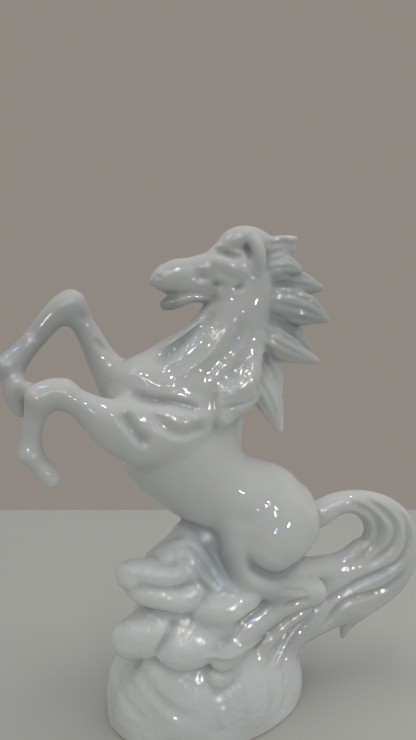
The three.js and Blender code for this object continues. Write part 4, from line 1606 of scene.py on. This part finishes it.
@dataclass(frozen=True)
class CoatGroup:
    """The shader node group that both glazes share: how the coat varies over the surface.

    Attributes:
        name: The group's name.
        clouds: The scale and detail of the clouds in the coat.
        cloud_share: How much thicker the coat is in a cloud.
        pool_and_shade_share: How much darker toward the pooled colour it is where glaze pools and where shade
            is painted.
        gloss_noise: The scale and detail of the changes in gloss.
        gloss: The least roughness, and how much more it changes by.
        ripple_noise: The scale and detail of the ripple.
        ripple: How much stronger the ripple is where the surface is uneven.
        still: The strength of the ripple where it is even.
        ripple_height: How high the ripple is at full strength, in metres.
    """

    name: str = "glaze_coat"
    clouds: tuple[float, float] = (28.0, 2.0)
    cloud_share: float = 0.35
    pool_and_shade_share: float = 0.9
    gloss_noise: tuple[float, float] = (60.0, 1.0)
    gloss: float = 0.015
    ripple_noise: tuple[float, float] = (240.0, 1.0)
    ripple: float = 0.6
    still: float = 0.012
    ripple_height: float = 0.0012

    def tree(self) -> bpy.types.NodeTree:
        """Makes the group on first use.

        Returns:
            The group.
        """
        if self.name in bpy.data.node_groups:
            return bpy.data.node_groups[self.name]
        made = bpy.data.node_groups.new(self.name, "ShaderNodeTree")
        for name in ("Thin", "PooledAndShaded", "Warm"):
            made.interface.new_socket(name, in_out="INPUT", socket_type="NodeSocketColor")
        for name, kind in (("Colour", "Color"), ("Roughness", "Float"), ("Normal", "Vector")):
            made.interface.new_socket(name, in_out="OUTPUT", socket_type=f"NodeSocket{kind}")
        nodes, links = made.nodes, made.links
        given, out = nodes.new("NodeGroupInput"), nodes.new("NodeGroupOutput")
        place = nodes.new("ShaderNodeTexCoord").outputs["Object"]

        def noise(scale: float, detail: float) -> bpy.types.NodeSocket:
            """Makes a cloudy value over the figure.

            Args:
                scale: How many clouds there are to a metre.
                detail: How much finer detail they have.

            Returns:
                The value.
            """
            node = nodes.new("ShaderNodeTexNoise")
            node.inputs["Scale"].default_value = scale
            node.inputs["Detail"].default_value = detail
            links.new(place, node.inputs["Vector"])
            return node.outputs["Fac"]

        def mark(name: str) -> bpy.types.NodeSocket:
            """Reads one of the marks on the mesh.

            Args:
                name: The mark.

            Returns:
                Its value.
            """
            node = nodes.new("ShaderNodeAttribute")
            node.attribute_name = name
            return node.outputs["Fac"]

        def sums(operation: str, *terms: bpy.types.NodeSocket | float) -> bpy.types.NodeSocket:
            """Does one sum.

            Args:
                operation: The sum.
                terms: What goes into it.

            Returns:
                The result.
            """
            node = nodes.new("ShaderNodeMath")
            node.operation = operation
            for socket, term in zip(node.inputs, terms):
                if isinstance(term, float):
                    socket.default_value = term
                else:
                    links.new(term, socket)
            return node.outputs[0]

        def blend(
            share: bpy.types.NodeSocket, first: bpy.types.NodeSocket, second: bpy.types.NodeSocket
        ) -> bpy.types.NodeSocket:
            """Mixes two colours.

            Args:
                share: How much there is of the second.
                first: The first colour.
                second: The second colour.

            Returns:
                The mix.
            """
            node = nodes.new("ShaderNodeMix")
            node.data_type = "RGBA"
            ports = [socket for socket in node.inputs if socket.type == "RGBA"]
            links.new(share, node.inputs["Factor"])
            links.new(first, ports[0])
            links.new(second, ports[1])
            return next(socket for socket in node.outputs if socket.type == "RGBA")

        cloud = sums("MULTIPLY", noise(*self.clouds), self.cloud_share)
        # mix toward the pooled colour for glaze pooling and painted shade, with random clouds in the coat
        thick_and_shaded = sums("MULTIPLY_ADD", mark("pool"), self.pool_and_shade_share, cloud)
        colour = blend(thick_and_shaded, given.outputs["Thin"], given.outputs["PooledAndShaded"])
        height = nodes.new("ShaderNodeSeparateXYZ")
        links.new(place, height.inputs[0])
        glazed = nodes.new("ShaderNodeMapRange")
        glazed.interpolation_type = "SMOOTHSTEP"
        glazed.inputs["From Min"].default_value, glazed.inputs["From Max"].default_value = RIM_BARE
        links.new(height.outputs["Z"], glazed.inputs["Value"])
        body = sums("SUBTRACT", 1.0, glazed.outputs["Result"])
        warmth = sums("MAXIMUM", mark("warm"), body)
        links.new(blend(warmth, colour, given.outputs["Warm"]), out.inputs["Colour"])
        gloss = sums("MULTIPLY_ADD", noise(*self.gloss_noise), self.gloss, self.gloss)
        links.new(sums("MULTIPLY_ADD", body, BARE_ROUGHNESS, gloss), out.inputs["Roughness"])
        bump = nodes.new("ShaderNodeBump")
        bump.inputs["Distance"].default_value = self.ripple_height
        strength = sums("MULTIPLY_ADD", mark("ripple"), self.ripple, self.still)
        links.new(strength, bump.inputs["Strength"])
        links.new(noise(*self.ripple_noise), bump.inputs["Height"])
        links.new(bump.outputs["Normal"], out.inputs["Normal"])
        return made


@dataclass(frozen=True)
class GlazeFinish:
    """Clear gloss glaze over white porcelain.

    Attributes:
        name: The material's name.
        thin: The colour under a thin coat.
        pooled_and_shaded: The colour where the glaze lies thick, also used as painted shade in hollows and in
            shaded spots.
        warm: The colour where the body shows through.
    """

    name: str
    thin: tuple[float, float, float]
    pooled_and_shaded: tuple[float, float, float]
    warm: tuple[float, float, float] = (0.55, 0.47, 0.36)

    def material(self) -> bpy.types.Material:
        """Makes the material.

        Returns:
            The material.
        """
        made = bpy.data.materials.new(self.name)
        made.use_nodes = True
        nodes, links = made.node_tree.nodes, made.node_tree.links
        shader = nodes["Principled BSDF"]
        shader.inputs["IOR"].default_value = GLAZE_INDEX
        coat = nodes.new("ShaderNodeGroup")
        coat.node_tree = CoatGroup().tree()
        for name, colour in (("Thin", self.thin), ("PooledAndShaded", self.pooled_and_shaded), ("Warm", self.warm)):
            coat.inputs[name].default_value = (*colour, 1.0)
        for name, port in (("Colour", "Base Color"), ("Roughness", "Roughness"), ("Normal", "Normal")):
            links.new(coat.outputs[name], shader.inputs[port])
        return made


@dataclass
class Studio:
    """The floor, the lights and the camera.

    Attributes:
        distance: How far from the mound's axis the camera stands, over the ground.
        height: How high it is.
        bearing: How far it is turned about the axis, in degrees.
        pitch: How far it looks down, in degrees.
        focal_pixels: Its focal length in pixels of the photograph.
        frame_pixels: The longer side of the photograph in pixels.
        sensor: The longer side of the sensor.
        floor_depth: How far behind the figure the table top ends.
        floor_reach: How far it goes on to the other sides, in metres.
        backdrop: The colour behind it, which also shows in the glaze.
        floor: The colour of the table top.
        floor_roughness: How dull the table top is.
        room: The strength of the light from all round.
        room_tint: Its colour.
        soft_lights: Broad lights as name, place, power and colour.
        soft_size: How long and broad they are, in metres.
        fills: Spot lights as place, the place that they are aimed at, and power.
        fill_cone: How wide they shine, in degrees.
        fill_radius: How large they are, in metres.
        lamp_distance: How far away the ceiling lamps are, in metres.
        lamp_radius: How large they are, in metres.
        lamps: Ceiling lamps as bearing and rise in degrees, power and colour.
        tube_breadth: How broad the tube lamps are, in metres.
        tubes: Tube lamps as the bearing and rise of both ends, power and colour.
    """

    distance: float = 316.0
    height: float = 238.4
    bearing: float = 12.0
    pitch: float = 7.0
    focal_pixels: float = 556.0
    frame_pixels: float = 740.0
    sensor: float = 36.0
    floor_depth: float = 298.0
    floor_reach: float = 2.0
    backdrop: tuple[float, float, float] = (0.28, 0.25, 0.225)
    floor: tuple[float, float, float] = (0.46, 0.46, 0.43)
    floor_roughness: float = 0.6
    room: float = 0.44
    room_tint: tuple[float, float, float] = (0.97, 0.99, 1.0)
    soft_lights: tuple[tuple[str, tuple[float, ...], float, tuple[float, ...]], ...] = (
        ("overhead", (0.0, 0.0, 1.15), 4.2, LAMP_WHITE),
        ("side", (0.95, -0.1, 0.4), 1.4, (0.98, 0.99, 1.0)),
    )
    soft_size: float = 0.7
    fills: tuple[tuple[tuple[float, float, float], tuple[float, float, float], float], ...] = (
        ((0.15, -1.3, 0.55), (-0.01, 0.0, 0.125), 8.0),
        ((0.9, -0.9, 0.5), (0.04, 0.0, 0.065), 5.2),
        ((-0.8, -1.0, 0.5), (0.03, 0.0, 0.075), 6.6),
    )
    fill_cone: float = 22.0
    fill_radius: float = 0.15
    lamp_distance: float = 2.0
    lamp_radius: float = 0.05
    lamps: tuple[tuple[float, float, float, tuple[float, float, float]], ...] = (
        (21.0, 31.0, 12.0, LAMP_WHITE),
        (15.0, 26.0, 12.0, LAMP_WHITE),
        (-25.0, 22.0, 12.0, LAMP_WHITE),
        (36.0, 9.0, 12.0, LAMP_WHITE),
        (-3.0, 45.0, 12.0, LAMP_WHITE),
        (-23.0, 53.0, 12.0, LAMP_WHITE),
        (60.0, 58.0, 12.0, LAMP_WHITE),
        (-82.0, 52.0, 12.0, LAMP_WHITE),
        (10.0, 10.0, 7.0, LAMP_BLUE),
        (15.0, 42.0, 7.0, LAMP_BLUE),
    )
    tube_breadth: float = 0.025
    tubes: tuple[tuple[tuple[float, float], tuple[float, float], float, tuple[float, float, float]], ...] = (
        ((-18.0, 32.0), (16.0, 34.0), 2.0, LAMP_WHITE),
        ((-80.0, 53.0), (-10.0, 27.0), 1.6, LAMP_WHITE),
        ((-112.0, 60.0), (-65.0, 68.0), 4.0, LAMP_BLUE),
    )

    def way(self, bearing: float, rise: float) -> Vector:
        """Finds a place on the ceiling lamps' round.

        Args:
            bearing: The direction from the figure, in degrees to the right of straight ahead.
            rise: The height above the horizon, in degrees.

        Returns:
            The place in metres.
        """
        turn, up = math.radians(bearing), math.radians(rise)
        ahead = Vector((math.sin(turn) * math.cos(up), -math.cos(turn) * math.cos(up), math.sin(up)))
        return FIGURE_MIDDLE + self.lamp_distance * ahead

    def tube(self, name: str, first: Vector, last: Vector, power: float, tint: tuple[float, ...]) -> None:
        """Hangs a tube lamp that shows as a bright line.

        Args:
            name: Its name.
            first: One end.
            last: The other end.
            power: Its power in watts.
            tint: Its colour.
        """
        data = bpy.data.lights.new(name, "AREA")
        data.shape = "RECTANGLE"
        data.size, data.size_y = (last - first).length, self.tube_breadth
        data.energy, data.color = power, tint
        lamp = place_object(name, data)
        along = (last - first).normalized()
        middle = 0.5 * (first + last)
        back = (middle - FIGURE_MIDDLE).normalized()
        side = back.cross(along).normalized()
        turned = Matrix((along, side, along.cross(side))).transposed().to_4x4()
        lamp.matrix_world = Matrix.Translation(middle) @ turned
        lamp.visible_diffuse = False

    def place_camera(self) -> None:
        """Puts the camera where the photograph was taken from."""
        turn, dip = math.radians(self.bearing), math.radians(self.pitch)
        ahead = Vector((math.sin(turn) * math.cos(dip), math.cos(turn) * math.cos(dip), -math.sin(dip)))
        right = Vector((math.cos(turn), -math.sin(turn), 0.0))
        above = right.cross(ahead)
        spot = np.array((-self.distance * math.sin(turn), -self.distance * math.cos(turn), self.height))
        data = bpy.data.cameras.new("camera")
        data.sensor_width = self.sensor
        data.lens = self.focal_pixels / self.frame_pixels * data.sensor_width
        data.clip_start = 0.01
        camera = place_object("camera", data)
        turned = Matrix((right, above, -ahead)).transposed().to_4x4()
        camera.matrix_world = Matrix.Translation(Vector((spot - FRAME_SHIFT) * MILLIMETRE)) @ turned
        bpy.context.scene.camera = camera

    def lay_floor(self) -> None:
        """Lays a plain pale table top."""
        made = bpy.data.materials.new("table_top")
        made.use_nodes = True
        shader = made.node_tree.nodes["Principled BSDF"]
        shader.inputs["Base Color"].default_value = (*self.floor, 1.0)
        shader.inputs["Roughness"].default_value = self.floor_roughness
        shader.inputs["Specular IOR Level"].default_value = 0.0
        far, reach = self.floor_depth * MILLIMETRE, self.floor_reach
        turn = Matrix.Rotation(-math.radians(self.bearing), 4, "Z")
        corners = [(-reach, -reach, 0.0), (reach, -reach, 0.0), (reach, far, 0.0), (-reach, far, 0.0)]
        mesh = bpy.data.meshes.new("table_top")
        mesh.from_pydata([turn @ Vector(corner) for corner in corners], [], [(0, 1, 2, 3)])
        mesh.materials.append(made)
        table = place_object("table_top", mesh)

    def light(self) -> None:
        """Lights the room, and hangs the soft lights, the fills, the tubes and the ceiling lamps."""
        world = bpy.data.worlds.new("room")
        bpy.context.scene.world = world
        world.use_nodes = True
        nodes, links = world.node_tree.nodes, world.node_tree.links
        plain = nodes["Background"]
        plain.inputs["Color"].default_value = (*self.room_tint, 1.0)
        plain.inputs["Strength"].default_value = self.room
        seen = nodes.new("ShaderNodeBackground")
        seen.inputs["Color"].default_value = (*self.backdrop, 1.0)
        path = nodes.new("ShaderNodeLightPath")
        ray = path.outputs["Is Camera Ray"]
        for name in ("Is Glossy Ray", "Is Transmission Ray"):
            either = nodes.new("ShaderNodeMath")
            either.operation = "MAXIMUM"
            links.new(ray, either.inputs[0])
            links.new(path.outputs[name], either.inputs[1])
            ray = either.outputs[0]
        mix = nodes.new("ShaderNodeMixShader")
        links.new(ray, mix.inputs[0])
        links.new(plain.outputs[0], mix.inputs[1])
        links.new(seen.outputs[0], mix.inputs[2])
        links.new(mix.outputs[0], nodes["World Output"].inputs["Surface"])
        for name, place, power, tint in self.soft_lights:
            self.area(name, place, power, tint)
        for i, (place, aim, power) in enumerate(self.fills):
            self.fill(f"fill_{i}", place, aim, power)
        for i, (first, last, power, tint) in enumerate(self.tubes):
            self.tube(f"ceiling_tube_{i}", self.way(*first), self.way(*last), power, tint)
        for i, (bearing, rise, power, tint) in enumerate(self.lamps):
            self.lamp(f"ceiling_lamp_{i}", bearing, rise, power, tint)

    def area(self, name: str, place: tuple[float, ...], power: float, tint: tuple[float, ...]) -> None:
        """Hangs a soft light that faces the figure.

        Args:
            name: Its name.
            place: Where it hangs.
            power: Its power in watts.
            tint: Its colour.
        """
        data = bpy.data.lights.new(name, "AREA")
        data.shape = "RECTANGLE"
        data.size = data.size_y = self.soft_size
        data.energy, data.color = power, tint
        lamp = place_object(name, data)
        lamp.location = place
        lamp.rotation_euler = (FIGURE_MIDDLE - Vector(place)).to_track_quat("-Z", "Y").to_euler()
        lamp.visible_glossy = False

    def fill(self, name: str, place: tuple[float, ...], aim: tuple[float, ...], power: float) -> None:
        """Hangs a soft fill light that is aimed at a part of the figure.

        Args:
            name: Its name.
            place: Where it hangs.
            aim: The place that it is aimed at.
            power: Its power in watts.
        """
        data = bpy.data.lights.new(name, "SPOT")
        data.shadow_soft_size, data.energy = self.fill_radius, power
        data.spot_size, data.spot_blend = math.radians(self.fill_cone), 1.0
        lamp = place_object(name, data)
        lamp.location = place
        lamp.rotation_euler = (Vector(aim) - Vector(place)).to_track_quat("-Z", "Y").to_euler()
        lamp.visible_glossy = False

    def lamp(self, name: str, bearing: float, rise: float, power: float, tint: tuple[float, ...]) -> None:
        """Hangs a small ceiling lamp that shows as a glint.

        Args:
            name: Its name.
            bearing: Its direction from the figure, in degrees to the right of straight ahead.
            rise: Its height above the horizon, in degrees.
            power: Its power in watts.
            tint: Its colour.
        """
        data = bpy.data.lights.new(name, "POINT")
        data.shadow_soft_size, data.energy, data.color = self.lamp_radius, power, tint
        lamp = place_object(name, data)
        lamp.location = self.way(bearing, rise)
        lamp.visible_diffuse = False

    def build(self) -> None:
        """Makes the studio."""
        bpy.context.scene.view_settings.view_transform = "Standard"
        self.place_camera()
        self.lay_floor()
        self.light()


def main() -> None:
    """Models the figure, parts it, glazes it and sets it in the studio."""
    logging.basicConfig(level=logging.INFO, format="%(message)s")
    Studio().build()
    mound = Mound()
    parts: list[SubAssembly] = [Trunk(), mound, HindLegs(), Rocks(), Tail(), Forelegs(), Head(), Mane()]
    clay = Clay(CLAY_LOW, CLAY_HIGH, GRAIN)
    for part in parts:
        part.build(clay)
        LOG.info("%s laid", type(part).__name__)
    for part in parts:
        part.detail(clay)
    clay.soften(1)
    mound.hollow(clay)
    skins = clay.part()
    # each glaze's second colour serves for pooled glaze and for painted shade
    finishes = {
        Glaze.HORSE: GlazeFinish("porcelain_horse", (0.69, 0.69, 0.67), (0.34, 0.355, 0.36)).material(),
        Glaze.ROCK: GlazeFinish("porcelain_rock", (0.69, 0.7, 0.68), (0.34, 0.37, 0.385)).material(),
    }
    for part in parts:
        part.dress(skins, finishes)


if __name__ == "__main__":
    main()
